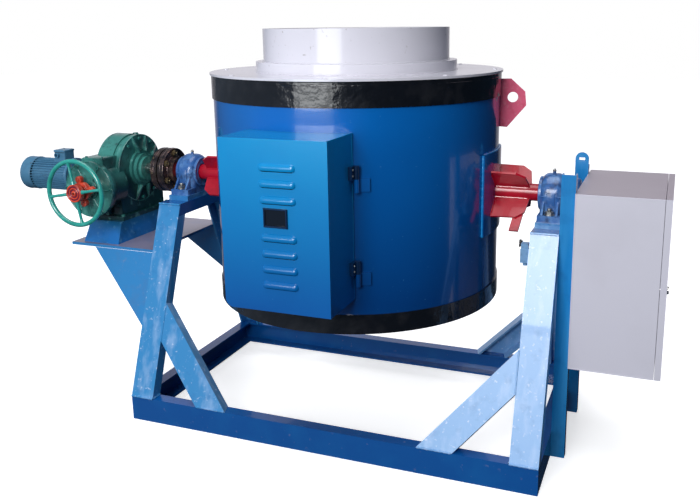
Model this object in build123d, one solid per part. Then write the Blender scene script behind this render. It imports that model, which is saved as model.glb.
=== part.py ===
from build123d import *
import math
import os

os.makedirs("parts", exist_ok=True)

# All sizes are millimetres
# X runs to the right along the tilting axis, Y to the back and Z up, with the floor at Z = 0

# Channel sections
channel_depth = 100.0
channel_flange = 48.0
channel_web = 5.5
channel_lip = 8.0
small_channel_depth = 50.0
small_channel_flange = 36.0
small_channel_wall = 4.5

# Shell
shell_radius = 551.0
shell_wall = 8.0

# Stand
stand_side_room = 270.0
stand_half_depth = 462.0
tilt_axis_height = 950.0
bearing_seat_drop = 105.0
leg_top_half_depth = 187.0
brace_foot_setback = 367.0
brace_head_height = 392.0
anchor_inset = 171.0
anchor_hole_radius = 9.0
anchor_setback = 27.0

# Vessel
vessel_drop = 428.0
vessel_height = 862.0
floor_plate = 10.0
band_thickness = 5.0
top_band_height = 86.0
bottom_band_height = 70.0
cover_thickness = 8.0
cover_overhang = 10.0
ring_ledge = 29.5
ring_height = 37.0
collar_height = 121.0
collar_wall = 9.0
collar_lining_wall = 48.0
collar_lining_drop = 12.0

# Crucible, coil and lining
crucible_top_radius = 286.0
crucible_bottom_radius = 205.0
crucible_wall = 34.0
crucible_floor = 40.0
crucible_flare = 40.0
crucible_flare_height = 90.0
crucible_rim_drop = 46.0
mouth_clearance = 14.0
pedestal_height = 90.0
pedestal_inset = 15.0
sleeve_clearance = 19.0
sleeve_wall = 40.0
sleeve_drop = 12.0
coil_clearance = 2.0
coil_wire_radius = 9.0
coil_turns = 14
coil_pitch = 46.0
post_size = 26.0
post_count = 6

# Trunnions
saddle_half_angle = 14.5
saddle_half_height = 150.0
saddle_thickness = 10.0
trunnion_radius = 32.0
fin_thickness = 8.0
fin_tip_radius = 118.0
fin_outer_radius = 92.0
fin_reach = 126.0
fin_shoulder = 84.0
striker_width = 34.0
striker_length = 50.0
running_gap = 0.05

# Lifting lugs
lug_angle = 14.0
lug_thickness = 16.0
lug_hole_radius = 20.0
lug_reach = 100.0
lug_height = 184.0
lug_drop = 29.0

# Bearings
bearing_width = 84.0
bearing_radius = 76.0
bearing_half_base = 112.0
bearing_base = 24.0
bearing_pad = 20.0
bearing_bore = 52.0
bearing_cap = 5.0
end_cover_rounding = 12.0
shaft_overhang = 34.0
bearing_rounding = 27.0
end_cover_length = 54.0
bearing_bolt_radius = 8.0
bearing_bolt_head = 15.0
bearing_bolt_offset = 94.0

# Coupling
coupling_radius = 95.0
coupling_hub_radius = 58.0
coupling_gap = 6.0
coupling_disc_thickness = 27.0
coupling_bolt_radius = 7.0
coupling_nut_radius = 13.5
coupling_nut_height = 10.0
coupling_bolt_circle = 74.0
coupling_bolt_count = 6

# Gearbox
wheel_plane_setback = 284.0
drum_radius = 150.0
drum_width = 120.0
case_wall = 12.0
case_drop = 205.0
case_base = 18.0
foot_height = 85.0
foot_flare_x = 29.0
foot_flare_y = 62.0
input_box_side = 10.0
input_box_half_depth = 65.0
input_box_below = 75.0
input_box_above = 95.0
worm_teeth_ratio = 49
spur_pinion_teeth = 22
spur_gear_teeth = 43
spur_module = 1.75
spur_offset_x = 20.0
wheel_radius = 91.0
worm_radius = 17.2
tooth_clearance = 0.5
output_shaft_radius = 25.0
worm_shaft_radius = 12.0
hand_shaft_radius = 12.0
front_cover_radius = 120.0
front_cover_face = -250.0
front_cover_thickness = 14.0
neck_radius = 100.0
neck_wall = 5.0
neck_flange = 12.0
motor_plane_y = -125.0
motor_wheel_radius = 20.0
motor_worm_radius = 10.0
motor_shaft_radius = 8.0
screw_radius = 5.0
screw_head_radius = 8.0
screw_head = 8.0
screw_length = 24.0

# Handwheel and clutch
handwheel_plane_y = -335.0
handwheel_radius = 143.0
handwheel_rim = 9.5
handwheel_hub_radius = 38.0
handwheel_hub_length = 24.0
spoke_radius = 6.5
spoke_count = 4
spoke_start = 10.0
rim_facets = 16
clutch_plane_y = -292.0
clutch_thickness = 22.0
clutch_disc_radius = 40.0
clutch_lobe_radius = 15.0
clutch_lobe_circle = 50.0
clutch_lobes = 4

# Motor
motor_radius = 70.0
motor_body_length = 190.0
motor_cowl_length = 55.0
motor_fin_depth = 9.0
motor_fin_count = 36
motor_flange_radius = 76.0
motor_flange_thickness = 12.0
motor_adapter_radius = 50.0
motor_adapter_length = 113.0
casting_gap = 0.5
shaft_clearance = 4.0
terminal_box_setback = 52.0
terminal_box_width = 58.0
terminal_box_depth = 62.0
terminal_box_height = 40.0

# Electronics hood
hood_x0 = -190.0
hood_x1 = 192.0
hood_lift = 128.0
hood_height = 568.0
hood_reach = 173.0
hood_sheet = 3.0
hood_corner = 28.0
hood_clearance = 1.5
louvre_centre_x = 17.0
louvre_width = 130.0
louvre_pitch = 52.5
louvre_radius = 17.0
louvre_sink = 8.0
louvre_sheet = 2.0
louvre_mouth = 6.0
upper_louvres = 3
lower_louvres = 4
window_centre_x = 8.5
window_lift = 316.5
window_width = 85.0
window_height = 63.0
hinge_x = 208.0
hinge_standoff = 18.354
hinge_height = 90.0
hinge_barrel_radius = 9.0
hinge_pin_radius = 3.5
upper_hinge_lift = 373.0
lower_hinge_lift = 49.0
board_setback = 96.0
board_thickness = 12.0
board_half_width = 120.0
board_lift = 110.0
board_drop = 98.0
board_inset = 30.0
board_post_inset = 20.0
stud_x = -60.0
stud_inset = 60.0
stud_radius = 9.0

# Control cabinet
cabinet_depth = 312.0
cabinet_width = 486.0
cabinet_height = 635.0
cabinet_bottom = 360.0
cabinet_front_y = -200.0
cabinet_sheet = 3.0
cabinet_lip = 14.0
door_thickness = 22.0
door_gap = 1.5
door_hinge_offset = 7.0
door_knuckle_radius = 6.0
lock_setback = 30.0
lock_radius = 13.0
gland_radius = 15.0
gland_bore = 9.0
gland_length = 26.0
gland_pitch = 52.0

# Limit switch
switch_width = 31.0
switch_depth = 32.0
switch_drop = 110.0
switch_body_height = 50.0
switch_head_height = 20.0
lever_length = 48.0
lever_thickness = 5.0
roller_radius = 8.0
roller_width = 8.0


def block(x0, x1, y0, y1, z0, z1):
    centre = Pos((x0 + x1) / 2, (y0 + y1) / 2, (z0 + z1) / 2)
    return centre * Box(abs(x1 - x0), abs(y1 - y0), abs(z1 - z0))


def rod_x(radius, x0, x1, y, z):
    return Pos((x0 + x1) / 2, y, z) * Rot(0, 90, 0) * Cylinder(radius, abs(x1 - x0))


def rod_y(radius, y0, y1, x, z):
    return Pos(x, (y0 + y1) / 2, z) * Rot(90, 0, 0) * Cylinder(radius, abs(y1 - y0))


def rod_z(radius, z0, z1, x=0.0, y=0.0):
    return Pos(x, y, (z0 + z1) / 2) * Cylinder(radius, abs(z1 - z0))


def ring_z(outer, inner, z0, z1):
    return rod_z(outer, z0, z1) - rod_z(inner, z0 - 1, z1 + 1)


def ring_x(outer, inner, x0, x1, y, z):
    return rod_x(outer, x0, x1, y, z) - rod_x(inner, min(x0, x1) - 1, max(x0, x1) + 1, y, z)


def prism(points, plane, length):
    face = make_face(Polyline(*points, close=True))
    return extrude(plane * face, length)


def channel(start, direction, outward, length, depth, flange, web, lip):
    along = Vector(*direction).normalized()
    out = Vector(*outward).normalized()
    plane = Plane(origin=start, x_dir=out.cross(along), z_dir=along)
    outer = Pos(0, -flange / 2) * Rectangle(depth, flange)
    inner = Pos(0, -web - flange / 2) * Rectangle(depth - 2 * lip, flange)
    return extrude(plane * (outer - inner), length)


def big_channel(start, direction, outward, length):
    return channel(
        start, direction, outward, length, channel_depth, channel_flange, channel_web, channel_lip
    )


def mirror_x(shape):
    return mirror(shape, Plane.YZ)


def mirror_y(shape):
    return mirror(shape, Plane.XZ)


def save(name, *shapes):
    solids = []
    for shape in shapes:
        solids.extend(shape.solids())
    whole = solids[0] if len(solids) == 1 else Compound(children=solids)
    whole.label = name
    export_step(whole, "parts/" + name + ".step")


# Base frame
rail_mid = channel_depth / 2
stand_half_length = shell_radius + stand_side_room
L = stand_half_length
D = stand_half_depth
beam_top = tilt_axis_height - bearing_seat_drop
anchor_x = L - anchor_inset
front_rail = big_channel((-L, -D, rail_mid), (1, 0, 0), (0, -1, 0), 2 * L)
anchor_y = D - anchor_setback
for sx in (-1, 1):
    front_rail -= rod_z(anchor_hole_radius, -1, channel_lip + 1, sx * anchor_x, -anchor_y)
rear_rail = mirror_y(front_rail)
side_length = 2 * (D - channel_web)
left_rail = big_channel((-L, -D + channel_web, rail_mid), (0, 1, 0), (-1, 0, 0), side_length)
left_rail = left_rail - front_rail - rear_rail
left_rail = left_rail.solids().sort_by(SortBy.VOLUME)[-1]
right_rail = mirror_x(left_rail)
save("cross_rails", front_rail, rear_rail)
save("side_rails", left_rail, right_rail)

# Legs lean towards the tilting axis and carry a flat beam on each side
leg_run = D - leg_top_half_depth
leg_rise = beam_top - channel_depth
leg_length = math.hypot(leg_run, leg_rise)
leg_dir = (0, leg_run / leg_length, leg_rise / leg_length)
leg_out = (0, -leg_rise / leg_length, leg_run / leg_length)
leg_x = L - channel_depth / 2
leg_inner_x = L - channel_depth
overrun = 2 * channel_flange
slab = block(-L - 1, L + 1, -2 * D, 2 * D, channel_depth, beam_top)


def leg_raw(x):
    start = (
        x,
        -D - leg_dir[1] * overrun,
        channel_depth - leg_dir[2] * overrun,
    )
    return big_channel(start, leg_dir, leg_out, leg_length + 2 * overrun) & slab


beam_raw = big_channel((-leg_x, -D, beam_top), (0, 1, 0), (0, 0, 1), 2 * D)
web_run = channel_web * leg_length / leg_rise
side_wedge = prism(
    [
        (-D + web_run, channel_depth),
        (D - web_run, channel_depth),
        (leg_top_half_depth - web_run, beam_top),
        (-leg_top_half_depth + web_run, beam_top),
    ],
    Plane.YZ.offset(-L - 1),
    channel_depth + 2,
)
left_beam = (beam_raw & side_wedge).solids()[0]
beam_room = block(
    -L - 1, -leg_inner_x + 1, -D, D, beam_top - channel_flange, beam_top + 1
) & side_wedge
left_front_leg = leg_raw(-leg_x) - beam_room
left_front_leg = left_front_leg.solids().sort_by(SortBy.VOLUME)[-1]
front_legs = [left_front_leg, mirror_x(left_front_leg)]
rear_legs = [mirror_y(leg) for leg in front_legs]
save("legs", *front_legs, *rear_legs)
save("top_beams", left_beam, mirror_x(left_beam))

# Diagonal braces lie in the planes of the legs
brace_rise = (brace_head_height - channel_depth) * leg_length / leg_rise
brace_foot_x = L - brace_foot_setback
brace_run = leg_inner_x - brace_foot_x
brace_length = math.hypot(brace_rise, brace_run)
brace_dir = (
    brace_run / brace_length,
    leg_dir[1] * brace_rise / brace_length,
    leg_dir[2] * brace_rise / brace_length,
)
brace_start = (
    brace_foot_x - brace_dir[0] * overrun,
    -D - brace_dir[1] * overrun,
    channel_depth - brace_dir[2] * overrun,
)
brace_room = block(0, leg_inner_x, -2 * D, 0, channel_depth, beam_top)
right_brace = big_channel(brace_start, brace_dir, leg_out, brace_length + 2 * overrun) & brace_room
front_braces = [right_brace, mirror_x(right_brace)]
rear_braces = [mirror_y(brace) for brace in front_braces]
save("braces", *front_braces, *rear_braces)

# Uprights carry the control cabinet on the right side of the stand
cabinet_back_x = L + small_channel_depth
upright_x = L + small_channel_depth / 2
front_upright_y = cabinet_front_y + 15
rear_upright_y = -front_upright_y + 5
front_upright_top = tilt_axis_height + 106
rear_upright_top = tilt_axis_height + 127


def upright(y, top):
    return channel(
        (upright_x, y, 0),
        (0, 0, 1),
        (0, -1, 0),
        top,
        small_channel_depth,
        small_channel_flange,
        small_channel_wall,
        small_channel_wall,
    )


front_upright = upright(front_upright_y, front_upright_top)
ear_radius = small_channel_depth / 2
rear_upright = upright(rear_upright_y, rear_upright_top - small_channel_depth)
ear = block(
    L, L + small_channel_depth, rear_upright_y, rear_upright_y + small_channel_wall,
    rear_upright_top - small_channel_depth, rear_upright_top - ear_radius,
)
ear_round = rod_y(
    ear_radius, rear_upright_y, rear_upright_y + small_channel_wall,
    upright_x, rear_upright_top - ear_radius,
)
slot_z = rear_upright_top - ear_radius
slot = block(
    upright_x - 11, upright_x + 11, rear_upright_y - 1, rear_upright_y + small_channel_wall + 1,
    slot_z - 5, slot_z + 5,
)
rear_upright = rear_upright + ear + ear_round - slot

# Shelf on the left side for the drive
wheel_plane_x = -L - wheel_plane_setback
case_bottom = tilt_axis_height - case_drop
shelf_top = case_bottom - foot_height
shelf_left = wheel_plane_x - 130
shelf_thickness = 12.0
panel_thickness = 6.0
shelf_under = shelf_top - shelf_thickness


def leg_face_y(z):
    return -D + leg_run * (z - channel_depth) / leg_rise


shelf_front = leg_face_y(shelf_top) - 2
shelf_back = -shelf_front + 20
shelf_plate = block(shelf_left, -L, shelf_front, shelf_back, shelf_under, shelf_top)
save("drive_shelf", shelf_plate)
panel_left = shelf_left + 124
panel_foot = shelf_under - 282
panel_scale = leg_length / leg_rise
panel_points = [
    (panel_left, (shelf_under - channel_depth) * panel_scale),
    (-L, (shelf_under - channel_depth) * panel_scale),
    (-L, (panel_foot - channel_depth) * panel_scale),
]
panel_plane = Plane(origin=(0, -D, channel_depth), x_dir=(1, 0, 0), z_dir=leg_out)
front_panel = prism(panel_points, panel_plane, -panel_thickness)
save("shelf_brackets", front_panel, mirror_y(front_panel))

# Pillow block bearings on pads
bearing_x = leg_x
pad_top = beam_top + bearing_pad
axis_z = tilt_axis_height
shaft_end = bearing_x + bearing_width / 2 + shaft_overhang


def pillow(x, outboard):
    x0 = x - bearing_width / 2
    x1 = x + bearing_width / 2
    base = block(x0, x1, -bearing_half_base, bearing_half_base, pad_top, pad_top + bearing_base)
    half = bearing_width / 2
    lower = block(x - half, x + half, -bearing_radius, bearing_radius, pad_top, axis_z)
    body = rod_x(bearing_radius, x0, x1, 0, axis_z) + lower
    side_edges = body.edges().filter_by(Plane.YZ)
    rim_edges = [edge for edge in side_edges if edge.bounding_box().max.Z > pad_top + 1]
    body = fillet(rim_edges, bearing_rounding)
    cap_radius = bearing_radius - 14
    cap0 = rod_x(cap_radius, x0 - bearing_cap, x0 + half, 0, axis_z)
    cap1 = rod_x(cap_radius, x1 - half, x1 + bearing_cap, 0, axis_z)
    oiler = rod_z(6, axis_z + bearing_radius - 4, axis_z + bearing_radius + 10, x, 0)
    whole = base + body + cap0 + cap1 + oiler
    if outboard:
        cover = rod_x(cap_radius, x1, x1 + end_cover_length, 0, axis_z)
        cover = fillet(cover.edges().sort_by(Axis.X)[-1], end_cover_rounding)
        whole += cover
    whole -= rod_x(bearing_bore, x0 + 14, x1 - 14, 0, axis_z)
    shaft_room = shaft_end + 2 if outboard else x1 + bearing_cap + 1
    whole -= rod_x(trunnion_radius + 2, x0 - bearing_cap - 1, shaft_room, 0, axis_z)
    for side in (-1, 1):
        whole -= rod_z(
            bearing_bolt_radius + 1, pad_top - 1, pad_top + bearing_base + 1,
            x, side * bearing_bolt_offset,
        )
    return whole


def insert(x):
    half = bearing_width / 2 - 14
    return ring_x(bearing_bore, trunnion_radius + running_gap, x - half, x + half, 0, axis_z)


def pad(x):
    half_x = channel_depth / 2 - 4
    half_y = bearing_half_base + 12
    plate = block(x - half_x, x + half_x, -half_y, half_y, beam_top, pad_top)
    for side in (-1, 1):
        plate -= rod_z(bearing_bolt_radius + 1, beam_top - 1, pad_top + 1, x, side * bearing_bolt_offset)
    return plate


def bearing_bolts(x):
    bolts = []
    head_z = pad_top + bearing_base
    for side in (-1, 1):
        y = side * bearing_bolt_offset
        head = Pos(x, y, head_z + 7) * extrude(RegularPolygon(bearing_bolt_head, 6), 7, both=True)
        shank = rod_z(bearing_bolt_radius, beam_top, head_z, x, y)
        bolts.append(head + shank)
    return bolts


save("bearing_pads", pad(-bearing_x), pad(bearing_x))
save("bearing_housings", pillow(-bearing_x, False), pillow(bearing_x, True))
save("bearing_inserts", insert(-bearing_x), insert(bearing_x))
save("bearing_bolts", *bearing_bolts(-bearing_x), *bearing_bolts(bearing_x))

# Vessel shell, floor, bands and cover
inner_radius = shell_radius - shell_wall
vessel_bottom = axis_z - vessel_drop
vessel_top = vessel_bottom + vessel_height
mouth_radius = crucible_top_radius + mouth_clearance
collar_radius = mouth_radius + collar_lining_wall + collar_wall
ring_radius = collar_radius + ring_ledge
shell = ring_z(shell_radius, inner_radius, vessel_bottom, vessel_top)
save("vessel_shell", shell)
save("vessel_floor", rod_z(inner_radius, vessel_bottom, vessel_bottom + floor_plate))
band_radius = shell_radius + band_thickness
top_band_z = vessel_top - top_band_height
bottom_band_z = vessel_bottom + bottom_band_height
top_band = ring_z(band_radius, shell_radius, top_band_z, vessel_top)
bottom_band = ring_z(band_radius, shell_radius, vessel_bottom, bottom_band_z)
save("shell_bands", top_band, bottom_band)
cover_radius = shell_radius + cover_overhang
cover_top = vessel_top + cover_thickness
save("cover_plate", ring_z(cover_radius, mouth_radius, vessel_top, cover_top))
ring_top = cover_top + ring_height
save("step_ring", ring_z(ring_radius, mouth_radius, cover_top, ring_top))
collar_top = ring_top + collar_height
collar = ring_z(collar_radius, collar_radius - collar_wall, ring_top, collar_top)
save("collar", collar)
rim_top = collar_top - collar_lining_drop
collar_lining = ring_z(collar_radius - collar_wall, mouth_radius, ring_top, rim_top)
save("collar_lining", collar_lining)

# Crucible on its pedestal inside the coil
floor_top = vessel_bottom + floor_plate
pedestal_top = floor_top + pedestal_height
crucible_top = collar_top - crucible_rim_drop
flare_radius = crucible_bottom_radius + crucible_flare
flare_z = pedestal_top + crucible_flare_height
crucible_outline = [
    (0, pedestal_top),
    (crucible_bottom_radius, pedestal_top),
    (flare_radius, flare_z),
    (crucible_top_radius, crucible_top),
    (crucible_top_radius - crucible_wall, crucible_top),
    (flare_radius - crucible_wall, flare_z + crucible_wall / 2),
    (crucible_bottom_radius - crucible_wall, pedestal_top + crucible_floor),
    (0, pedestal_top + crucible_floor),
]
crucible_face = Plane.XZ * make_face(Polyline(*crucible_outline, close=True))
crucible = revolve(crucible_face, Axis.Z, 360)
save("crucible", crucible)
pedestal_radius = crucible_bottom_radius - pedestal_inset
save("crucible_pedestal", rod_z(pedestal_radius, floor_top, pedestal_top))
sleeve_top = vessel_top - sleeve_drop
sleeve_radius = crucible_top_radius + sleeve_clearance + sleeve_wall
sleeve = ring_z(sleeve_radius, sleeve_radius - sleeve_wall, floor_top, sleeve_top)
lid_ring = ring_z(inner_radius - 4, sleeve_radius - sleeve_wall, sleeve_top, vessel_top)
save("insulation", sleeve, lid_ring)
coil_radius = sleeve_radius + coil_clearance + coil_wire_radius
coil_base = floor_top + 60
coil_path = Pos(0, 0, coil_base) * Helix(coil_pitch, coil_pitch * coil_turns, coil_radius)
wire_plane = Plane(origin=coil_path @ 0, z_dir=coil_path % 0)
coil = sweep(wire_plane * Circle(coil_wire_radius), path=coil_path)
save("induction_coil", coil)
posts = []
post_inner = coil_radius + coil_wire_radius
for index in range(post_count):
    angle = 30 + index * 360 / post_count
    bar = block(
        post_inner, post_inner + post_size, -post_size / 2, post_size / 2,
        floor_top, sleeve_top,
    )
    posts.append(Rot(0, 0, angle) * bar)
save("coil_posts", *posts)

# Saddle plates spread the load of the trunnions over the shell
saddle_radius = shell_radius + saddle_thickness
saddle_z0 = axis_z - saddle_half_height
saddle_z1 = axis_z + saddle_half_height
sector_reach = 2 * shell_radius
sector_half = sector_reach * math.tan(math.radians(saddle_half_angle))
sector = prism(
    [(0, 0), (sector_reach, -sector_half), (sector_reach, sector_half)],
    Plane.XY.offset(saddle_z0),
    saddle_z1 - saddle_z0,
)
right_saddle = ring_z(saddle_radius, shell_radius, saddle_z0, saddle_z1) & sector
save("saddle_plates", right_saddle, mirror_x(right_saddle))

# Trunnions with four fins each
saddle_core = rod_z(saddle_radius, saddle_z0, saddle_z1)
right_trunnion = rod_x(trunnion_radius, saddle_radius - 20, shaft_end, 0, axis_z) - saddle_core
right_trunnion = right_trunnion.solids().sort_by(Axis.X)[-1]
fin_foot = saddle_radius - 30
fin_end = saddle_radius + fin_reach
fin_points = [
    (fin_foot, 0),
    (fin_foot, fin_tip_radius),
    (saddle_radius + fin_shoulder, fin_tip_radius - 3),
    (fin_end - 10, fin_outer_radius),
    (fin_end - 4, fin_outer_radius - 34),
    (fin_end, trunnion_radius),
    (fin_end, 0),
]
fin_plane = Plane(origin=(0, fin_thickness / 2, axis_z), x_dir=(1, 0, 0), z_dir=(0, -1, 0))
fin_blank = prism(fin_points, fin_plane, fin_thickness)
trunnion_core = rod_x(trunnion_radius, 0, 2 * L, 0, axis_z)
right_fins = []
for angle in (45, 135, 225, 315):
    turned = fin_blank.rotate(Axis((0, 0, axis_z), (1, 0, 0)), angle)
    turned = turned - saddle_core - trunnion_core
    right_fins.append(turned.solids().sort_by(SortBy.VOLUME)[-1])
save("trunnion_fins", *right_fins, *[mirror_x(fin) for fin in right_fins])

# Striker finger for the limit switch
striker_x = saddle_radius + fin_shoulder + 10
striker_points = [
    (striker_x - striker_width / 2, fin_tip_radius - 30),
    (striker_x + striker_width / 2, fin_tip_radius - 30),
    (striker_x + striker_width / 2 - 8, fin_tip_radius + striker_length),
    (striker_x - striker_width / 2 - 8, fin_tip_radius + striker_length),
]
striker_plane = Plane(origin=(0, -fin_thickness / 2, axis_z), x_dir=(1, 0, 0), z_dir=(0, -1, 0))
striker_blank = prism(striker_points, striker_plane, fin_thickness)
striker = striker_blank.rotate(Axis((0, 0, axis_z), (1, 0, 0)), 135)
save("striker", striker)

# Lifting lugs
lug_top = vessel_top - lug_drop
lug_points = [
    (shell_radius - 30, lug_top),
    (shell_radius + 42, lug_top),
    (shell_radius + lug_reach - 5, lug_top - 49),
    (shell_radius + lug_reach, lug_top - 101),
    (shell_radius + 29, lug_top - lug_height),
    (shell_radius - 30, lug_top - lug_height + 5),
]
lug_plane = Plane(origin=(0, lug_thickness / 2, 0), x_dir=(1, 0, 0), z_dir=(0, -1, 0))
lug_hole_x = shell_radius + 49
lug_hole_z = lug_top - 70
lug_blank = prism(lug_points, lug_plane, lug_thickness)
lug_blank -= rod_y(lug_hole_radius, -lug_thickness, lug_thickness, lug_hole_x, lug_hole_z)
lug_blank = Rot(0, 0, lug_angle) * lug_blank
lug_blank = lug_blank - rod_z(band_radius, top_band_z, vessel_top) - rod_z(shell_radius, 0, top_band_z)
right_lug = lug_blank.solids().sort_by(SortBy.VOLUME)[-1]
save("lifting_lugs", right_lug, mirror_x(right_lug))

# The left trunnion is longer and carries one half of the flange coupling
drum_half = drum_width / 2
drum_x0 = wheel_plane_x - drum_half
drum_x1 = wheel_plane_x + drum_half
hub_a_x1 = -shaft_end + 8
disc_thickness = coupling_disc_thickness
hub_a_x0 = hub_a_x1 - 26
disc_a_x1 = hub_a_x0
disc_a_x0 = disc_a_x1 - disc_thickness
disc_b_x1 = disc_a_x0 - coupling_gap
disc_b_x0 = disc_b_x1 - disc_thickness
left_trunnion = rod_x(trunnion_radius, disc_a_x0, -saddle_radius + 20, 0, axis_z) - saddle_core
left_trunnion = left_trunnion.solids().sort_by(Axis.X)[0]
save("trunnions", left_trunnion, right_trunnion)


def coupling_half(x0, x1, hub0, hub1, bore):
    half = rod_x(coupling_radius, x0, x1, 0, axis_z) + rod_x(coupling_hub_radius, hub0, hub1, 0, axis_z)
    half -= rod_x(bore, min(x0, hub0) - 1, max(x1, hub1) + 1, 0, axis_z)
    for index in range(coupling_bolt_count):
        angle = math.radians(30 + index * 360 / coupling_bolt_count)
        y = coupling_bolt_circle * math.cos(angle)
        z = axis_z + coupling_bolt_circle * math.sin(angle)
        half -= rod_x(coupling_bolt_radius, x0 - 1, x1 + 1, y, z)
    return half


half_a = coupling_half(disc_a_x0, hub_a_x0, hub_a_x0 - 1, hub_a_x1, trunnion_radius)
half_b = coupling_half(disc_b_x0, disc_b_x1, disc_b_x0 - 14, disc_b_x0 + 1, output_shaft_radius)
save("coupling_hubs", half_a, half_b)
bolts = []
nut = Rot(0, 90, 0) * extrude(RegularPolygon(coupling_nut_radius, 6), coupling_nut_height / 2, both=True)
for index in range(coupling_bolt_count):
    angle = math.radians(30 + index * 360 / coupling_bolt_count)
    y = coupling_bolt_circle * math.cos(angle)
    z = axis_z + coupling_bolt_circle * math.sin(angle)
    bolt = rod_x(coupling_bolt_radius, disc_b_x0 - coupling_nut_height - 3, disc_a_x1 + 3, y, z)
    bolt += Pos(disc_b_x0 - coupling_nut_height / 2, y, z) * nut
    bolt += Pos(disc_a_x1 + coupling_nut_height / 2, y, z) * nut
    bolts.append(bolt)
save("coupling_bolts", *bolts)

# Worm wheel on the output shaft
worm_z = axis_z - wheel_radius - worm_radius
wheel_half = 22.0
wheel_tip = wheel_radius - tooth_clearance


def grooved_wheel(radius, length, teeth, depth):
    wheel = Cylinder(radius, length)
    width = 0.45 * 2 * math.pi * radius / teeth
    notch = Pos(radius, 0, 0) * Box(2 * depth, width, length + 2)
    for index in range(teeth):
        wheel -= Rot(0, 0, index * 360 / teeth) * notch
    return wheel


worm_wheel = grooved_wheel(wheel_tip, 2 * wheel_half, worm_teeth_ratio, 6)
worm_wheel = Pos(wheel_plane_x, 0, axis_z) * Rot(0, 90, 0) * worm_wheel
shaft_left = drum_x0 - 8
output_shaft = rod_x(output_shaft_radius, shaft_left, disc_b_x1, 0, axis_z)
output_hub = rod_x(output_shaft_radius + 16, drum_x0 + 20, drum_x1 - 20, 0, axis_z)
save("wheel_shaft", worm_wheel + output_shaft + output_hub)

# Worm shaft and hand shaft geared together in the front neck
spur_distance = spur_module * (spur_pinion_teeth + spur_gear_teeth) / 2
hand_x = wheel_plane_x - spur_offset_x
hand_z = worm_z + math.sqrt(spur_distance ** 2 - spur_offset_x ** 2)
neck_front = front_cover_face + front_cover_thickness
gear_y0 = neck_front + 36
gear_y1 = gear_y0 + 20
case_front = -drum_radius
case_back = drum_radius
gear_tip = spur_module * spur_gear_teeth / 2 - tooth_clearance
pinion_tip = spur_module * spur_pinion_teeth / 2 - tooth_clearance
gear_turn = Rot(90, 0, 0)
spur_gear = Pos(wheel_plane_x, (gear_y0 + gear_y1) / 2, worm_z) * gear_turn * grooved_wheel(
    gear_tip, gear_y1 - gear_y0, spur_gear_teeth, 4
)
spur_pinion = Pos(hand_x, (gear_y0 + gear_y1) / 2, hand_z) * gear_turn * grooved_wheel(
    pinion_tip, gear_y1 - gear_y0, spur_pinion_teeth, 3
)
worm_front = neck_front - 8
worm_back = case_back + 6
worm_shaft = rod_y(worm_shaft_radius, worm_front, worm_back, wheel_plane_x, worm_z)
worm_thread = rod_y(worm_radius - tooth_clearance, -62, 62, wheel_plane_x, worm_z)
thread_pitch = 2 * math.pi * wheel_radius / worm_teeth_ratio
thread_count = int(112 / thread_pitch)
for index in range(thread_count + 1):
    y = -thread_count * thread_pitch / 2 + index * thread_pitch
    worm_thread -= rod_y(worm_radius + 1, y - 2.5, y + 2.5, wheel_plane_x, worm_z)
worm_shaft = worm_shaft + worm_thread + rod_y(worm_shaft_radius + 1, -62, 62, wheel_plane_x, worm_z)
save("worm_shaft", worm_shaft + spur_gear)
hand_front = handwheel_plane_y - handwheel_hub_length / 2 + 6
rib_front = -108.0
rib_back = -98.0
hand_back = rib_back + 4
hand_shaft = rod_y(hand_shaft_radius, hand_front, hand_back, hand_x, hand_z)
save("hand_shaft", hand_shaft + spur_pinion)

# Motor worm and its wheel
motor_z = hand_z + motor_wheel_radius + motor_worm_radius
motor_wheel_half = 9.0
wheel_blank = grooved_wheel(motor_wheel_radius - tooth_clearance / 2, 2 * motor_wheel_half, 30, 2.5)
motor_wheel = Pos(hand_x, motor_plane_y, hand_z) * gear_turn * wheel_blank
motor_wheel -= rod_y(hand_shaft_radius + running_gap, -200, 0, hand_x, hand_z)
save("motor_wheel", motor_wheel)

# Gearbox case
box_x0 = drum_x0 - input_box_side
box_y0 = neck_front + neck_flange
box_y1 = motor_plane_y + input_box_half_depth
box_z0 = motor_z - input_box_below
box_z1 = motor_z + input_box_above
box_skin = 10.0
input_x1 = drum_x1 - 20
wall = case_wall
case = rod_x(drum_radius, drum_x0, drum_x1 - 40, 0, axis_z)
case += rod_x(drum_radius - 7, drum_x1 - 41, drum_x1 - 26, 0, axis_z)
case += rod_x(drum_radius - 3, drum_x1 - 27, drum_x1, 0, axis_z)
case += block(drum_x0, drum_x1, case_front, case_back, case_bottom, axis_z)
case_lip = 18.0
case += block(
    drum_x0 - 20, drum_x1 + 20, case_front - case_lip, case_back + case_lip,
    case_bottom, case_bottom + case_base,
)
case += block(box_x0, input_x1, box_y0, box_y1, box_z0, box_z1)
case += rod_y(neck_radius, neck_front, case_front + 30, hand_x, hand_z)
case += rod_y(front_cover_radius, neck_front, neck_front + neck_flange, hand_x, hand_z)
case += rod_y(30, case_back - 1, case_back + 18, wheel_plane_x, worm_z)
case += rod_x(45, drum_x0 - 16, drum_x0 + 1, 0, axis_z)
case -= rod_x(drum_radius - wall - 3, drum_x0 + wall, drum_x1 - wall, 0, axis_z)
case -= block(
    drum_x0 + wall, drum_x1 - wall, case_front + wall, case_back - wall, case_bottom + case_base, axis_z
)
neck_bore = neck_radius - neck_wall
case -= rod_y(neck_bore, neck_front - 1, case_front - 4, hand_x, hand_z)
neck_room = block(drum_x0 - 1, drum_x1 - wall, case_front - 5, case_front + wall + 1, case_bottom, 2 * axis_z)
case -= neck_room & rod_y(neck_bore, neck_front, 0, hand_x, hand_z)
case -= block(
    box_x0 + box_skin, input_x1 - box_skin, box_y0 + box_skin, box_y1 - box_skin,
    box_z0 + box_skin, box_z1 - box_skin,
)
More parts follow.
